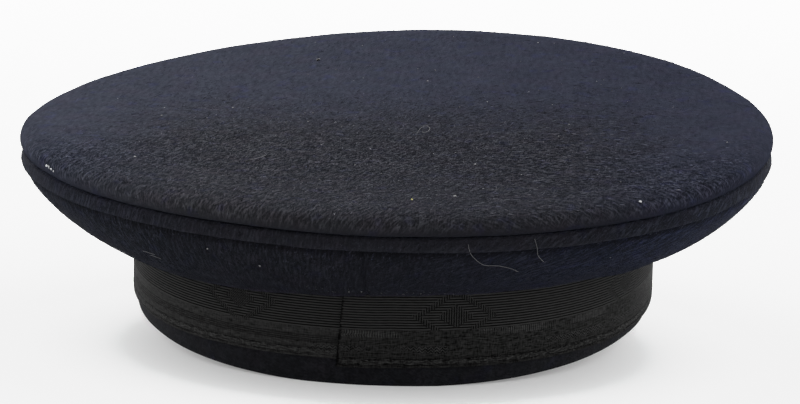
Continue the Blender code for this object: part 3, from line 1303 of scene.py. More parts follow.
@dataclass
class CrownSide:
    """The side of the crown: one strip, seamed at the rear and folded in at the ribbon."""

    shape: CapShape
    axes: CapAxes
    section: tuple[Row, ...] = (
        # (share out from the ribbon to the welt, share up from the fold to the welt)
        (0.018, 0.035), (0.10, 0.012), (0.20, 0.040), (0.30, 0.09), (0.45, 0.195),
        (0.60, 0.32), (0.75, 0.485), (0.885, 0.67), (0.975, 0.825), (1.005, 0.93), (1.0, 1.0),
    )
    skin: float = 1.3 * MM
    segments: int = 440
    crowding: float = 0.8
    turn_up: float = 2.5 * MM
    tuck: float = 0.35 * MM
    hem_waver: float = 0.32 * MM
    seam_angle: float = math.radians(-0.3)
    seam_width: float = 0.7 * MM
    seam_depth: float = 1.0 * MM
    puff_offset: float = 2.2 * MM
    puff_width: float = 1.6 * MM
    puff_height: float = 0.22 * MM
    swell: float = 0.35 * MM
    ripple: float = 0.12 * MM

    def profile(self, angle: float) -> list[Vector]:
        """The section at an angle, from the welt down round the fold to the turned-up edge."""
        shape = self.shape
        face = shape.gap + shape.ribbon_thickness + shape.gap
        inner = shape.band_point(angle, face)
        outer = shape.rim_point(angle)
        top = shape.rim_height(angle) - shape.welt_height + self.tuck
        waver = lump(Vector((*inner, 0.0)), 12.0 * MM, 4.4) * self.hem_waver
        hem = shape.hem_height(angle) + waver
        points = [Vector((*inner, hem + self.turn_up)), Vector((*inner, hem + self.turn_up * 0.5))]
        for out, up in smooth_rows(self.section, 3):
            place = inner.lerp(outer, out)
            points.append(Vector((*place, hem + (top - hem) * up)))
        return [self.uneven(point, angle) for point in reversed(points)]

    def uneven(self, point: Vector, angle: float) -> Vector:
        """A point of the side with the seam's groove and the cloth's own unevenness.

        Args:
            point: The point without them.
            angle: Place around the cap.

        Returns:
            The point with them.
        """
        out = Vector((point.x, point.y, 0.0))
        arc = (angle + math.pi) % math.tau - math.pi
        distance = (arc - self.seam_angle) * out.length
        groove = -bell(distance, self.seam_width) * self.seam_depth
        groove *= 0.75 + 0.5 * lump(point, 4.0 * MM, 9.2)
        puff = (bell(distance - self.puff_offset, self.puff_width)
                + bell(distance + self.puff_offset, self.puff_width))
        shift = groove + puff * self.puff_height
        shift += (lump(point, 22.0 * MM, 6.1) * self.swell
                  + lump(point, 7.0 * MM, 2.6) * self.ripple)
        slope = Vector((out.x, out.y, -0.5 * out.length)).normalized()
        return point + slope * shift

    def build(self, finish: NappedWool) -> bpy.types.Object:
        """Build and dress the side."""
        form = Shell(self.segments, self.crowding).build(self.profile)
        piece = as_piece("crown_side_cloth", form, self.axes)
        add_wall(piece, self.skin)
        piece.data.materials.append(finish.material())
        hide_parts("crown_side")
        return piece


@dataclass
class HeadBand:
    """The stiff band, its cloth turned round the lower edge."""

    shape: CapShape
    axes: CapAxes
    edge_radius: float = 1.1 * MM
    # Heights in millimetres of the rows of vertices down the outer face and up the inner face.
    outer_rows: Row = (33.0, 27.0, 21.0, 16.0, 12.0, 9.0, 6.5, 4.2, 2.4)
    inner_rows: Row = (4.0, 10.0, 20.0, 30.0)
    lower_steps: int = 6
    upper_steps: int = 4
    slack: float = 0.14 * MM

    def profile(self, angle: float) -> list[Vector]:
        """The closed section at an angle: down the outer face, round the edge and up inside."""
        shape = self.shape
        wall = shape.band_wall
        radius = self.edge_radius
        rows = [(0.0, shape.band_height - radius)]
        rows += [(0.0, height * MM) for height in self.outer_rows]
        for step in range(self.lower_steps + 1):
            turn = math.pi * step / self.lower_steps
            rows.append((-wall / 2.0 + wall / 2.0 * math.cos(turn), radius * (1.0 - math.sin(turn))))
        rows += [(-wall, height * MM) for height in self.inner_rows]
        for step in range(self.upper_steps + 1):
            turn = math.pi * step / self.upper_steps
            rows.append((-wall / 2.0 - wall / 2.0 * math.cos(turn),
                         shape.band_height - radius * (1.0 - math.sin(turn))))
        points = []
        for out, height in rows[:-1]:
            place = shape.band_point(angle, out)
            point = Vector((*place, height))
            low = 1.0 - smooth_step(2.0 * MM, 9.0 * MM, height)
            slack = lump(point, 19.0 * MM, 7.7) * self.slack * low
            point.x *= 1.0 + slack / place.length
            point.y *= 1.0 + slack / place.length
            points.append(point)
        return points

    def build(self, finish: SmoothWool) -> bpy.types.Object:
        """Build and dress the band."""
        form = Shell().build(self.profile, closed=True)
        piece = as_piece("head_band_cloth", form, self.axes)
        press_on_table(piece)
        piece.data.materials.append(finish.material())
        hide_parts("base_band")
        return piece


@dataclass
class RibbonBand:
    """The woven ribbon round the band, whose right end lies over its left end at the rear."""

    shape: CapShape
    axes: CapAxes
    rows: RibbonRows = field(default_factory=RibbonRows)
    steps: int = 300
    crowding: float = 0.7
    spin: float = math.tau * 0.9
    row_pitch: float = 0.2 * MM
    rib_depth: float = 0.26 * MM
    groove_depth: float = 0.14 * MM
    cord_height: float = 0.06 * MM
    weave_sink: float = 0.10 * MM
    edge_share: float = 0.55
    overlap: float = 3.1 * MM
    slant: float = 2.1 * MM
    fray: float = 0.35 * MM
    fray_pitch: float = 0.5 * MM
    end_gap: float = 0.6 * MM
    end_reach: float = 9.0 * MM
    lift_from: float = 3.0 * MM
    lift_to: float = 12.0 * MM

    def length(self) -> float:
        """Length of the ribbon round the band, along its outer face."""
        grow = self.shape.gap + self.shape.ribbon_thickness
        points = [self.shape.band_point(math.tau * step / 360.0, grow) for step in range(361)]
        return sum((end - start).length for start, end in zip(points, points[1:]))

    def heights(self) -> list[float]:
        """Heights above the lower edge at which the outer face has a row of vertices."""
        count = int(self.shape.ribbon_width / self.row_pitch)
        return [self.row_pitch * step for step in range(1, count)]

    def relief(self, share: float, up: float) -> float:
        """How far the weave stands out of the ribbon's face.

        Args:
            share: Share of the way along the ribbon.
            up: Height above its lower edge.

        Returns:
            The relief there.
        """
        rows = self.rows
        over = up - rows.rib_start(share)
        if over > 0.0:
            return self.rib_depth * (0.5 + 0.5 * math.sin(math.tau * over / rows.rib_pitch))
        level = self.rib_depth * 0.6
        if -4.9 * MM < over < -2.4 * MM:
            left = smooth_step(0.3, 0.7, share)
            return level * (1.0 - left * (0.5 - 0.5 * math.cos(math.tau * over / rows.fine_pitch)))
        level -= self.groove_depth * (bell(up - rows.low_groove, 0.3 * MM)
                                      + bell(up - rows.high_groove, 0.35 * MM))
        between = (rows.low_groove + rows.high_groove) / 2.0
        return level + self.cord_height * bell(up - between, 0.6 * MM)

    def section(self, step: int, total: float) -> list[Vector]:
        """The closed section at one step along the ribbon.

        Args:
            step: The step, from the right end of the ribbon.
            total: The ribbon's length.

        Returns:
            The points of the section, in the cap's axes.
        """
        shape = self.shape
        share = step / self.steps
        share -= self.crowding / math.tau * math.sin(math.tau * share)
        run = share * total
        lift = shape.ribbon_thickness * (1.0 - smooth_step(self.lift_from, self.lift_to, run))
        edge = shape.ribbon_thickness * self.edge_share
        rows = [(0.0, 0.0), (edge, 0.0)]
        rows += [(shape.ribbon_thickness + self.relief(share, up) - self.weave_sink, up)
                 for up in self.heights()]
        rows += [(edge, shape.ribbon_width), (0.0, shape.ribbon_width)]
        rows += [(0.0, shape.ribbon_width * 0.5)]
        points = []
        for out, up in rows:
            high = up / shape.ribbon_width
            thread = up / self.fray_pitch
            start = -self.overlap - self.slant * (1.0 - high)
            start += self.fray * noise.noise(Vector((thread, 0.3, 1.0)))
            end = self.fray * noise.noise(Vector((thread, 7.3, 2.0))) - self.end_gap
            moved = start * (1.0 - smooth_step(0.0, self.end_reach, run))
            moved += end * smooth_step(total - self.end_reach, total, run)
            angle = shape.ribbon_seam_angle + math.tau * share + moved / shape.band_half_width
            low = (shape.ribbon_lower_edge + shape.ribbon_seam_step * (share - 0.5)
                   - shape.ribbon_side_droop * math.sin(angle) ** 2)
            place = shape.band_point(angle, shape.gap + lift + out)
            points.append(Vector((*place, low + up)))
        return points

    def build(self, finish: WovenRibbon) -> bpy.types.Object:
        """Build and dress the ribbon."""
        total = self.length()
        sections = [self.section(step, total) for step in range(self.steps + 1)]
        count = len(sections[0])
        form = bmesh.new()
        spin_chain(form, count, True, self.steps, self.spin)
        unrolled = form.loops.layers.uv.new(CLOTH_UV)
        keys = chain_keys(form, self.steps, self.spin)
        runs = [0.0]
        for before, after in zip(sections, sections[1:]):
            runs.append(runs[-1] + (after[count // 2] - before[count // 2]).length)
        ups = [0.0, 0.0] + self.heights() + [self.shape.ribbon_width] * 3
        for face in form.faces:
            for loop in face.loops:
                step, row = keys[loop.vert]
                loop[unrolled].uv = (runs[step], ups[row])
        for vertex, (step, row) in keys.items():
            vertex.co = sections[step][row]
        ends = [edge for edge in form.edges if edge.is_boundary]
        bmesh.ops.holes_fill(form, edges=ends, sides=0)
        bmesh.ops.recalc_face_normals(form, faces=form.faces)
        piece = as_piece("ribbon", form, self.axes)
        piece.data.materials.append(finish.material())
        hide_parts("ribbon_band")
        return piece


@dataclass
class Peak:
    """The short peak of patent leather."""

    shape: CapShape
    axes: CapAxes
    stations: int = 96
    section: tuple[Row, ...] = (
        # (share of the reach, share of the drop)
        (0.0, 0.0), (0.04, 0.0), (0.14, 0.085), (0.28, 0.21), (0.52, 0.45), (0.76, 0.71),
        (0.90, 0.88), (1.0, 1.0),
    )
    edge_radius: float = 0.6 * MM
    edge_segments: int = 3
    edge_angle: float = math.radians(40.0)

    def build(self, finish: PatentLeather) -> bpy.types.Object:
        """Build and dress the peak."""
        shape = self.shape
        rows = smooth_rows(self.section, 3)
        form = bmesh.new()
        bmesh.ops.create_grid(form, x_segments=self.stations, y_segments=len(rows) - 1, size=1.0)
        unrolled = form.loops.layers.uv.new(CLOTH_UV)
        for vertex in form.verts:
            across = vertex.co.x
            row = rows[round((vertex.co.y + 1.0) / 2.0 * (len(rows) - 1))]
            vertex.co = self.point(across, *row)
        for face in form.faces:
            for loop in face.loops:
                loop[unrolled].uv = (loop.vert.co.x, loop.vert.co.y)
        form.normal_update()
        if sum(face.normal.z for face in form.faces) < 0.0:
            bmesh.ops.reverse_faces(form, faces=form.faces)
        bmesh.ops.solidify(form, geom=form.faces, thickness=shape.peak_wall)
        form.normal_update()
        if form.calc_volume(signed=True) < 0.0:
            bmesh.ops.reverse_faces(form, faces=form.faces)
        piece = as_piece("peak_leather", form, self.axes)
        rounding = piece.modifiers.new("edge", "BEVEL")
        rounding.width = self.edge_radius
        rounding.segments = self.edge_segments
        rounding.limit_method = "ANGLE"
        rounding.angle_limit = self.edge_angle
        press_on_table(piece)
        piece.data.materials.append(finish.material())
        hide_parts("peak")
        return piece

    def point(self, across: float, reach: float, drop: float) -> Vector:
        """A point of the peak's upper face.

        Args:
            across: Place along the band, from -1 to 1.
            reach: Share of the way out to the free edge.
            drop: Share of the way down to it.

        Returns:
            The point, in the cap's axes.
        """
        shape = self.shape
        inner, normal = shape.outline(math.pi + shape.peak_half_angle * across,
                                      shape.band_half_width, shape.band_half_length,
                                      shape.band_squareness, shape.gap)
        forward = Vector((normal.x * shape.peak_forward_lean, normal.y)).normalized()
        size = math.cos(across * math.pi / 2.0) ** shape.peak_fullness
        size = shape.peak_end_share + (1.0 - shape.peak_end_share) * size
        place = inner + forward * (shape.peak_reach * size * reach)
        seat = shape.peak_seat_height + shape.peak_wall
        return Vector((*place, seat - shape.peak_drop * size * drop))


@dataclass
class Nap:
    """Raised fibres over a piece of cloth, each a thin spindle, joined into one mesh.

    Fibres are cut short where the cloth's normal points up less than steep tells. On the top's
    roll, where it points up less than the two numbers of roll_shade_area tell, their tones are
    calmer and darker: painted shade.
    """

    name: str
    lie: NapLie
    count: int
    seed: int
    length: float
    width: float
    lift: float
    rings: int = 2
    spread: float = math.radians(16.0)
    slope: float = math.radians(6.0)
    lie_drift: float = 12.0 * MM
    curl: float = 0.22
    root_share: float = 0.12
    taper: float = 0.5
    flatness: float = 0.45
    sink: float = 0.35
    stray_share: float = 0.04
    stray_slope: float = math.radians(50.0)
    stray_length: float = 0.6
    stray_width: float = 0.5
    pale_share: float = 0.0
    steep: float = -2.0
    short: float = 0.5
    roll_shade_pull: float = 0.0
    roll_shade_tone: float = 0.12
    roll_shade_area: Row = (0.70, 0.97)
    brushed: Optional[BrushedArea] = None
    brushed_thinning: float = 0.9
    brushed_tone: float = 0.30
    brushed_calm: float = 0.7

    def template(self) -> tuple[np.ndarray, np.ndarray]:
        """The corners and the triangles of one spindle along Z, from -1 to 1."""
        form = bmesh.new()
        bmesh.ops.create_uvsphere(form, u_segments=3, v_segments=self.rings, radius=1.0)
        bmesh.ops.triangulate(form, faces=form.faces)
        corners = np.array([tuple(vertex.co) for vertex in form.verts])
        triangles = np.array([[vertex.index for vertex in face.verts] for face in form.faces])
        form.free()
        return corners, triangles

    def sample(self, mesh: bpy.types.Mesh, rng: np.random.Generator
               ) -> tuple[np.ndarray, np.ndarray, np.ndarray]:
        """Places spread evenly over a mesh.

        Args:
            mesh: The cloth, with its map in metres.
            rng: The source of chance.

        Returns:
            The places, the cloth's normal and the lie of the nap at each.
        """
        mesh.calc_loop_triangles()
        count = len(mesh.loop_triangles)
        vertices = np.empty(count * 3, np.int32)
        loops = np.empty(count * 3, np.int32)
        mesh.loop_triangles.foreach_get("vertices", vertices)
        mesh.loop_triangles.foreach_get("loops", loops)
        places = np.empty(len(mesh.vertices) * 3, np.float32)
        mesh.vertices.foreach_get("co", places)
        cloth = np.empty(len(mesh.loops) * 2, np.float32)
        mesh.uv_layers[CLOTH_UV].uv.foreach_get("vector", cloth)
        corners = places.reshape(-1, 3)[vertices].reshape(-1, 3, 3).astype(float)
        unrolled = cloth.reshape(-1, 2)[loops].reshape(-1, 3, 2).astype(float)
        first, second = corners[:, 1] - corners[:, 0], corners[:, 2] - corners[:, 0]
        normal = np.cross(first, second)
        area = np.linalg.norm(normal, axis=1)
        step, other = unrolled[:, 1] - unrolled[:, 0], unrolled[:, 2] - unrolled[:, 0]
        spin = step[:, 0] * other[:, 1] - step[:, 1] * other[:, 0]
        weight = np.where(np.abs(spin) > 1e-14, area, 0.0)
        if self.brushed:
            centre = corners.mean(1)
            brushed = self.brushed.share(centre[:, 0], centre[:, 1])
            weight *= 1.0 - self.brushed_thinning * brushed
        picked = rng.choice(count, self.count, p=weight / weight.sum())
        pull = rng.random((self.count, 2))
        pull = np.where(pull.sum(1, keepdims=True) > 1.0, 1.0 - pull, pull)
        spots = (corners[picked, 0] + first[picked] * pull[:, :1] + second[picked] * pull[:, 1:])
        mapped = (unrolled[picked, 0] + step[picked] * pull[:, :1] + other[picked] * pull[:, 1:])
        size = np.where(spin, spin, 1.0)[:, None]
        across = (first * other[:, 1:] - second * step[:, 1:]) / size
        along = (second * step[:, :1] - first * other[:, :1]) / size
        angle = self.lie.angle_at(mapped[:, 0] + rng.normal(0.0, self.lie_drift, self.count))
        angle += rng.normal(0.0, self.spread, self.count)
        lie = (across[picked] * np.cos(angle)[:, None] + along[picked] * np.sin(angle)[:, None])
        return spots, self.unit(normal[picked]), self.unit(lie)

    @staticmethod
    def unit(vectors: np.ndarray) -> np.ndarray:
        """Vectors of length 1."""
        return vectors / np.maximum(np.linalg.norm(vectors, axis=1, keepdims=True), 1e-12)

    def spindles(self, spots: np.ndarray, normal: np.ndarray, lie: np.ndarray,
                 corners: np.ndarray, rng: np.random.Generator) -> np.ndarray:
        """Lay a spindle at each place, with a slope, a size and a curl of its own.

        Args:
            spots: The places.
            normal: The cloth's normal at each.
            lie: The lie of the nap at each.
            corners: The corners of one spindle.
            rng: The source of chance.

        Returns:
            The corners of each fibre.
        """
        slope = np.abs(rng.normal(0.0, self.slope, self.count))
        stray = rng.random(self.count) < self.stray_share
        slope = np.where(stray, rng.uniform(0.3, 1.0, self.count) * self.stray_slope, slope)
        length = self.length * rng.uniform(0.5, 1.5, self.count)
        length *= np.where(stray, self.stray_length, 1.0)
        length *= np.where(normal[:, 2] < self.steep, self.short, 1.0)
        width = self.width * rng.uniform(0.5, 1.4, self.count)
        width *= np.where(stray, self.stray_width, 1.0)
        curl = rng.normal(0.0, self.curl, self.count)
        run = self.unit(lie * np.cos(slope)[:, None] + normal * np.sin(slope)[:, None])
        side = self.unit(np.cross(normal, run))
        rise = np.cross(run, side)
        reach = (corners[:, 2] + 1.0) / 2.0
        taper = 1.0 - self.taper * reach
        along = length[:, None] * (reach - self.root_share)
        aside = width[:, None] * corners[:, 0] * taper + (curl * length)[:, None] * reach ** 2
        above = (width[:, None] * corners[:, 1] * taper * self.flatness
                 + self.lift * (np.sin(reach * math.pi) - self.sink))
        return (spots[:, None, :] + run[:, None, :] * along[..., None]
                + side[:, None, :] * aside[..., None] + rise[:, None, :] * above[..., None])

    def tones(self, spots: np.ndarray, normal: np.ndarray, rng: np.random.Generator
              ) -> np.ndarray:
        """How pale the fibres are.

        Args:
            spots: Their places.
            normal: The cloth's normal at each.
            rng: The source of chance.

        Returns:
            A tone below 1 for each fibre, or 1 for a pale one.
        """
        tone = rng.beta(0.8, 2.0, self.count)
        if self.brushed:
            brushed = self.brushed.share(spots[:, 0], spots[:, 1])
            tone += (self.brushed_tone - tone) * self.brushed_calm * brushed
        # Painted shade: fibres on the top's roll are pulled towards a dark tone.
        rolled = 1.0 - smooth_rise(normal[:, 2], *self.roll_shade_area)
        tone += (self.roll_shade_tone - tone) * self.roll_shade_pull * rolled
        return np.where(rng.random(self.count) < self.pale_share, 1.0, tone * 0.98)

    def build(self, cloth: bpy.types.Object, finish: RaisedFibres, slot: Slot
              ) -> bpy.types.Object:
        """Scatter the fibres over the cloth and dress them.

        Args:
            cloth: The piece of cloth.
            finish: The fibres' finish.
            slot: Their slot in the record. It is not used.

        Returns:
            The new piece.
        """
        rng = np.random.default_rng(self.seed)
        spots, normal, lie = self.sample(cloth.data, rng)
        corners, triangles = self.template()
        points = self.spindles(spots, normal, lie, corners, rng)
        offsets = np.arange(self.count)[:, None, None] * len(corners)
        mesh = bpy.data.meshes.new(self.name)
        mesh.from_pydata(points.reshape(-1, 3), [], (triangles[None] + offsets).reshape(-1, 3))
        mesh.shade_smooth()
        mesh.normals_split_custom_set_from_vertices(np.repeat(normal, len(corners), axis=0))
        tone = self.tones(spots, normal, rng)
        layer = mesh.attributes.new(TONE, "FLOAT", "POINT")
        layer.data.foreach_set("value", np.repeat(tone, len(corners)).astype(np.float32))
        piece = as_object(self.name, mesh)
        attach(piece, Body.ROOT.value)
        piece.data.materials.append(finish.material())
        LOG.info("%s: %d fibres", self.name, self.count)
        return piece


class ClothSurface:
    """Finds places on pieces of cloth from outside them."""

    def __init__(self, pieces: Sequence[bpy.types.Object], axes: CapAxes) -> None:
        """Take the pieces and the cap's axes."""
        self.axes = axes
        self.trees = [BVHTree.FromPolygons([vertex.co for vertex in piece.data.vertices],
                                           [face.vertices for face in piece.data.polygons])
                      for piece in pieces]

    def above(self, x: float, y: float) -> tuple[Vector, Vector]:
        """The place of the cloth over a point of the plan, and its normal."""
        return self.hit(Vector((x, y, 0.3)), Vector((0.0, 0.0, -1.0)))

    def beside(self, angle: float, height: float) -> tuple[Vector, Vector]:
        """The place of the cloth at an angle and a height, and its normal."""
        out = Vector((math.sin(angle), -math.cos(angle), 0.0))
        return self.hit(out * 0.3 + Vector((0.0, 0.0, height)), -out)

    def hit(self, start: Vector, way: Vector) -> tuple[Vector, Vector]:
        """Where a ray, given in the cap's axes, meets the cloth in the frame."""
        place = self.axes.to_world
        hits = [tree.ray_cast(place @ start, place.to_3x3() @ way) for tree in self.trees]
        spot, normal, _, _ = min((hit for hit in hits if hit[0]), key=lambda hit: hit[3])
        return spot, normal


@dataclass
class LooseBits:
    """Lint, dust and stray hairs that have settled on the cloth."""

    axes: CapAxes
    top_bits: tuple[Row, ...] = (
        # (x, y and size in millimetres, tone)
        (80.4, -88.4, 0.50, 0.75), (12.1, -101.0, 0.45, 1.00), (24.7, -94.9, 0.45, 0.30),
        (-33.1, 75.3, 0.80, 0.0), (28.5, -52.9, 0.35, 0.35), (-8.5, -60.4, 0.35, 0.45),
        (-77.7, -59.6, 0.40, 0.35),
    )
    side_bits: tuple[Row, ...] = (
        # (angle in degrees, height and size in millimetres, tone)
        (-59.7, 55.3, 0.55, 0.85), (-58.8, 55.3, 0.52, 0.90), (-57.9, 55.2, 0.50, 0.85),
        (-57.1, 55.0, 0.46, 0.80), (-16.0, 41.5, 0.36, 0.32), (-24.0, 45.0, 0.28, 0.25),
        (-3.0, 33.5, 0.30, 0.25), (-1.0, 33.8, 0.28, 0.25), (38.0, 42.0, 0.26, 0.18),
    )
    seed: int = 40
    dust: int = 110
    dust_reach: float = 0.112
    hem_dust: int = 42
    top_hairs: tuple[tuple[Row, ...], ...] = (
        # (x, y and lift in millimetres)
        ((7.6, -16.5, 0.2), (8.7, -11.0, 0.7), (10.3, -8.6, 0.9), (11.6, -12.0, 0.8),
         (10.6, -16.0, 0.6), (9.2, -15.0, 0.4)),
        ((-43.0, -62.0, 0.2), (-39.0, -58.0, 0.5), (-37.0, -52.0, 0.2)),
    )
    side_hairs: tuple[tuple[Row, ...], ...] = (
        # (angle in degrees, height and lift in millimetres)
        ((14.3, 52.3, 0.3), (14.4, 50.6, 0.3), (15.0, 48.4, 0.6), (16.6, 46.0, 1.2),
         (18.9, 45.0, 0.9), (21.0, 43.3, 0.6), (22.6, 41.2, 0.3)),
        ((24.0, 52.6, 0.3), (24.3, 50.0, 0.4), (24.7, 47.4, 0.9), (26.2, 44.2, 0.3)),
        ((-38.4, 37.6, 0.3), (-37.0, 37.9, 0.5), (-35.6, 37.5, 0.3)),
        ((-37.2, 36.6, 0.3), (-36.0, 36.9, 0.5), (-34.8, 36.3, 0.3)),
    )
    hair_radius: float = 0.055 * MM
    hair_tone: float = 0.16

    def build(self, top: bpy.types.Object, sides: Sequence[bpy.types.Object], finish: Dust
              ) -> None:
        """Lay the bits and the hairs on the crown and dress them.

        Args:
            top: The crown's top, for what lies on it.
            sides: The welt and the side, for what clings beside it.
            finish: Their finish.
        """
        over, beside = ClothSurface([top], self.axes), ClothSurface([top, *sides], self.axes)
        rng = np.random.default_rng(self.seed)
        form = bmesh.new()
        layer = form.verts.layers.float.new(TONE)
        for x, y, size, tone in self.top_bits:
            self.flake(form, layer, over.above(x * MM, y * MM), size * MM, tone, rng)
        for degrees, height, size, tone in self.side_bits:
            spot = beside.beside(math.radians(degrees), height * MM)
            self.flake(form, layer, spot, size * MM, tone, rng)
        for _ in range(self.dust):
            reach = self.dust_reach * math.sqrt(rng.random())
            angle = math.tau * rng.random()
            spot = over.above(reach * math.sin(angle), reach * math.cos(angle))
            self.flake(form, layer, spot, (0.12 + 0.16 * rng.random()) * MM,
                       0.05 + 0.30 * rng.random() ** 2, rng)
        for _ in range(self.hem_dust):
            degrees = rng.uniform(-10.0, 19.0)
            height = rng.uniform(32.4, 34.6) - 0.07 * degrees
            spot = beside.beside(math.radians(degrees), height * MM)
            self.flake(form, layer, spot, rng.uniform(0.11, 0.21) * MM, 0.04 * rng.random(), rng)
        for route in self.top_hairs:
            self.hair(form, layer, [over.above(x * MM, y * MM) for x, y, _ in route],
                      [lift * MM for _, _, lift in route])
        for route in self.side_hairs:
            self.hair(form, layer, [beside.beside(math.radians(degrees), height * MM)
                                    for degrees, height, _ in route],
                      [lift * MM for _, _, lift in route])
        mesh = as_mesh("lint", form)
        mesh.shade_smooth()
        piece = as_object("lint", mesh)
        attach(piece, Body.ROOT.value)
        mesh.materials.append(finish.material())

    @staticmethod
    def flake(form: bmesh.types.BMesh, layer: bmesh.types.BMLayerItem,
              spot: tuple[Vector, Vector], size: float, tone: float,
              rng: np.random.Generator) -> None:
        """Add one irregular flake.

        Args:
            form: The mesh that it joins.
            layer: The mesh's layer for tones.
            spot: The place on the cloth and the cloth's normal.
            size: The flake's size.
            tone: How pale it is.
            rng: The source of chance.
        """
        place, normal = spot
        made = bmesh.ops.create_icosphere(form, subdivisions=1, radius=size)["verts"]
        turn = normal.to_track_quat("Z", "Y").to_matrix().to_4x4()
        squash = Matrix.Diagonal((*rng.uniform(0.6, 1.3, 2), 0.45, 1.0))
        spin = Matrix.Rotation(float(rng.random()) * math.tau, 4, "Z")
        where = Matrix.Translation(place + normal * (0.35 * size))
        bmesh.ops.transform(form, matrix=where @ turn @ spin @ squash, verts=made)
        for vertex in made:
            vertex[layer] = tone
            vertex.co += Vector(rng.normal(0.0, 0.16 * size, 3))

    def hair(self, form: bmesh.types.BMesh, layer: bmesh.types.BMLayerItem,
             spots: Sequence[tuple[Vector, Vector]], lifts: Sequence[float]) -> None:
        """Add one hair that follows places on the cloth.

        Args:
            form: The mesh that it joins.
            layer: The mesh's layer for tones.
            spots: The places and the cloth's normals there.
            lifts: How far the hair is off the cloth at each.
        """
        knots = [tuple(place + normal * lift) for (place, normal), lift in zip(spots, lifts)]
        line = [Vector(row) for row in smooth_rows(knots, 6)]
        made = bmesh.ops.create_uvsphere(form, u_segments=4, v_segments=len(line) - 1,
                                         radius=1.0)["verts"]
        up = spots[0][1]
        for vertex in made:
            step = round(math.acos(max(-1.0, min(1.0, -vertex.co.z))) / math.pi * (len(line) - 1))
            ahead = (line[min(step + 1, len(line) - 1)] - line[max(step - 1, 0)]).normalized()
            aside = ahead.cross(up).normalized()
            radius = self.hair_radius if 0 < step < len(line) - 1 else 0.0
            around = Vector((vertex.co.x, vertex.co.y, 0.0)).normalized() if radius else Vector()
            vertex.co = line[step] + (aside * around.x + up * around.y) * radius
            vertex[layer] = self.hair_tone


# Studio


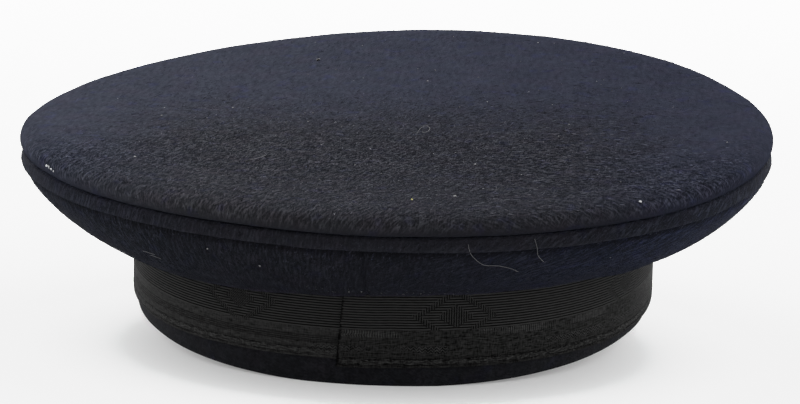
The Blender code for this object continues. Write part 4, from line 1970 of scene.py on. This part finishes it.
@dataclass
class Studio:
    """White floor, soft light mostly from above, behind and the sides, and the camera."""

    axes: CapAxes
    floor_size: float = 8.0
    floor_near: Colour = (0.84, 0.84, 0.84)
    floor_far: Colour = (0.90, 0.90, 0.90)
    floor_near_end: float = -0.25
    floor_far_start: float = 1.3
    glow_near: float = 0.12
    glow_far: float = 2.6
    fill: float = 0.13
    top_light: float = 0.75
    side_light: float = 3.4
    back_light: float = 3.6
    lean: float = 0.5
    box_light: float = 2.8
    box_way: Colour = (-0.05, 0.50, 0.86)
    box_focus: float = 8.0
    tone_curve: tuple[Row, ...] = (
        # (light as a share of the white level, brightness on the screen)
        (0.08, 0.38), (0.14, 0.57), (0.17, 0.68), (0.20, 0.83), (0.25, 0.87), (0.36, 0.885),
        (0.50, 0.915), (0.70, 0.95), (1.0, 0.98),
    )
    white_level: float = 5.0
    image_width: float = 800.0
    focal: float = 3642.7
    distance: float = 1.2
    target_height: float = 0.028
    turn: float = math.radians(4.0)
    rise: float = math.radians(16.36)
    roll: float = math.radians(1.07)
    shift: tuple[float, float] = (4.78, 5.37)
    sensor: float = 36.0

    def add_floor(self) -> None:
        """Lay the floor, a little paler far away, glowing with painted light that lifts its shadows.
        """
        form = bmesh.new()
        bmesh.ops.create_grid(form, x_segments=8, y_segments=8, size=self.floor_size / 2.0)
        mesh = as_mesh("floor", form)
        floor = as_object("floor", mesh)
        material, graph, shader = new_graph("white_floor")
        _, depth, _ = graph.parts(graph.place())
        share = depth.rise(self.floor_near_end, self.floor_far_start)
        near = self.glow_near / self.glow_far
        # Painted light: the floor glows, faintly near the cap and strongly far away.
        glow = share * (1.0 - near) + near
        feed(graph, shader, {
            "Base Color": graph.mix(share, self.floor_near, self.floor_far),
            "Roughness": 0.9,
            "Specular IOR Level": 0.0,
            "Emission Color": graph.mix(glow, (0.0, 0.0, 0.0), (1.0, 1.0, 1.0)),
            "Emission Strength": self.glow_far,
        })
        mesh.materials.append(material)

    def add_light(self) -> None:
        """Light the scene from a sky that is dim on the camera's side."""
        world = bpy.data.worlds.new("studio_light")
        bpy.context.scene.world = world
        world.use_nodes = True
        graph = Graph(world.node_tree)
        ray = graph.node("ShaderNodeTexCoord")
        across, along, up = graph.parts(Signal(graph, ray.outputs["Generated"]))
        box = (across * self.box_way[0] + along * self.box_way[1] + up * self.box_way[2])
        light = ((self.fill + graph.math("MAXIMUM", up, 0.0) * self.top_light
                  + across * across * self.side_light) * (1.0 + along * self.lean)
                 + graph.math("MAXIMUM", along, 0.0) * self.back_light
                 + graph.math("MAXIMUM", box, 0.0) ** self.box_focus * self.box_light)
        background = world.node_tree.nodes["Background"]
        world.node_tree.links.new(light.socket, background.inputs["Strength"])
        background.inputs["Color"].default_value = (1.0, 1.0, 1.0, 1.0)

    def add_camera(self) -> None:
        """Set up the camera behind the cap, a little above."""
        sine, cosine = math.sin(self.turn), math.cos(self.turn)
        low, high = math.cos(self.rise), math.sin(self.rise)
        back = Vector((sine * low, -cosine * low, high))
        right = Vector((cosine, sine, 0.0))
        above = back.cross(right)
        tilted_right = right * math.cos(self.roll) + above * math.sin(self.roll)
        tilted_above = above * math.cos(self.roll) - right * math.sin(self.roll)
        place = Vector((0.0, 0.0, self.target_height)) + back * self.distance
        pose = Matrix((tilted_right, tilted_above, back)).transposed().to_4x4()
        pose.translation = place
        data = bpy.data.cameras.new("camera")
        data.sensor_fit = "HORIZONTAL"
        data.sensor_width = self.sensor
        data.lens = self.focal / self.image_width * self.sensor
        data.shift_x = self.shift[0] / self.image_width
        data.shift_y = self.shift[1] / self.image_width
        data.clip_start = 0.05
        data.clip_end = 50.0
        camera = as_object("camera", data)
        camera.matrix_world = self.axes.to_world @ pose
        bpy.context.scene.camera = camera

    def set_tones(self) -> None:
        """Show the brightest tones compressed, as a bright exposure does."""
        view = bpy.context.scene.view_settings
        view.view_transform = "Standard"
        view.use_curve_mapping = True
        curves = view.curve_mapping
        curves.white_level = (self.white_level,) * 3
        curves.extend = "HORIZONTAL"
        curve = curves.curves[3]
        for share, shown in self.tone_curve[:-1]:
            curve.points.new(share, shown)
        curve.points[-1].location = self.tone_curve[-1]
        curves.update()

    def build(self) -> None:
        """Set up the whole studio."""
        self.add_floor()
        self.add_light()
        self.add_camera()
        self.set_tones()
        LOG.info("studio: floor, light and camera")


def main() -> None:
    """Build the cap and its studio, and report each piece."""
    logging.basicConfig(level=logging.INFO, format="%(name)s: %(message)s")
    shape = CapShape()
    axes = CapAxes.from_band(shape)
    Studio(axes).build()
    top_lie = NapLie()
    welt_lie = NapLie(math.radians(84.0), math.radians(32.0), -35.0 * MM, 45.0 * MM)
    side_lie = NapLie(math.radians(-84.0), math.radians(-32.0), -35.0 * MM, 45.0 * MM)
    dark, dim = (0.0018, 0.0019, 0.0024), (0.0128, 0.0137, 0.0180)
    welt_dark, welt_dim = (0.0034, 0.0035, 0.0044), (0.0152, 0.0160, 0.0204)
    brushed = BrushedArea()
    top = CrownTop(shape, axes).build(
        NappedWool("napped_wool_top", top_lie, brushed=brushed, right_from=-110.0 * MM,
                   right_tint=(0.65, 0.65, 0.72), crease_end=4.3 * MM, roll_shade=0.95,
                   streak_length=3.0 * MM, grain_length=2.4 * MM, grain_width=0.5 * MM))
    welt = CrownWelt(shape, axes).build(
        NappedWool("napped_wool_welt", welt_lie, welt_dark, welt_dim, specular=0.02, sheen=0.010,
                   end_contrast=0.9, crease_end=5.3 * MM, lip_painted_highlight=0.12))
    side = CrownSide(shape, axes).build(
        NappedWool("napped_wool_side", side_lie, dark, dim, specular=0.015, sheen=0.009,
                   right_tint=(1.05, 1.15, 1.55), end_contrast=1.3, seam_shade=0.5, hem_lint=0.9))
    fibres = RaisedFibres("wool_fibres", brushed=brushed)
    side_fibres = RaisedFibres("wool_fibres_side", dark, (0.029, 0.031, 0.041), sheen=0.008)
    crown = Slot.CROWN_CLOTH
    Nap("top_tufts", top_lie, count=12000, seed=11, length=1.9 * MM, width=0.20 * MM,
        lift=0.09 * MM, rings=3, spread=math.radians(22.0), stray_share=0.01, steep=0.9,
        short=0.25, roll_shade_pull=0.95, brushed=brushed).build(top, fibres, crown)
    Nap("top_fibres", top_lie, count=27000, seed=12, length=1.0 * MM, width=0.13 * MM,
        lift=0.08 * MM, spread=math.radians(28.0), pale_share=0.001, steep=0.9, roll_shade_pull=0.95,
        brushed=brushed).build(top, fibres, crown)
    Nap("side_fibres", side_lie, count=28000, seed=13, length=1.2 * MM, width=0.11 * MM,
        lift=0.10 * MM).build(side, side_fibres, crown)
    Nap("welt_fibres", welt_lie, count=9000, seed=14, length=0.8 * MM, width=0.10 * MM,
        lift=0.08 * MM).build(welt, side_fibres, crown)
    LooseBits(axes).build(top, (welt, side), Dust("dust"))
    HeadBand(shape, axes).build(SmoothWool("smooth_wool"))
    ribbon = RibbonBand(shape, axes)
    ribbon.build(WovenRibbon("woven_ribbon_braid", ribbon.rows, ribbon.length()))
    Peak(shape, axes).build(PatentLeather("patent_leather"))


if __name__ == "__main__":
    main()
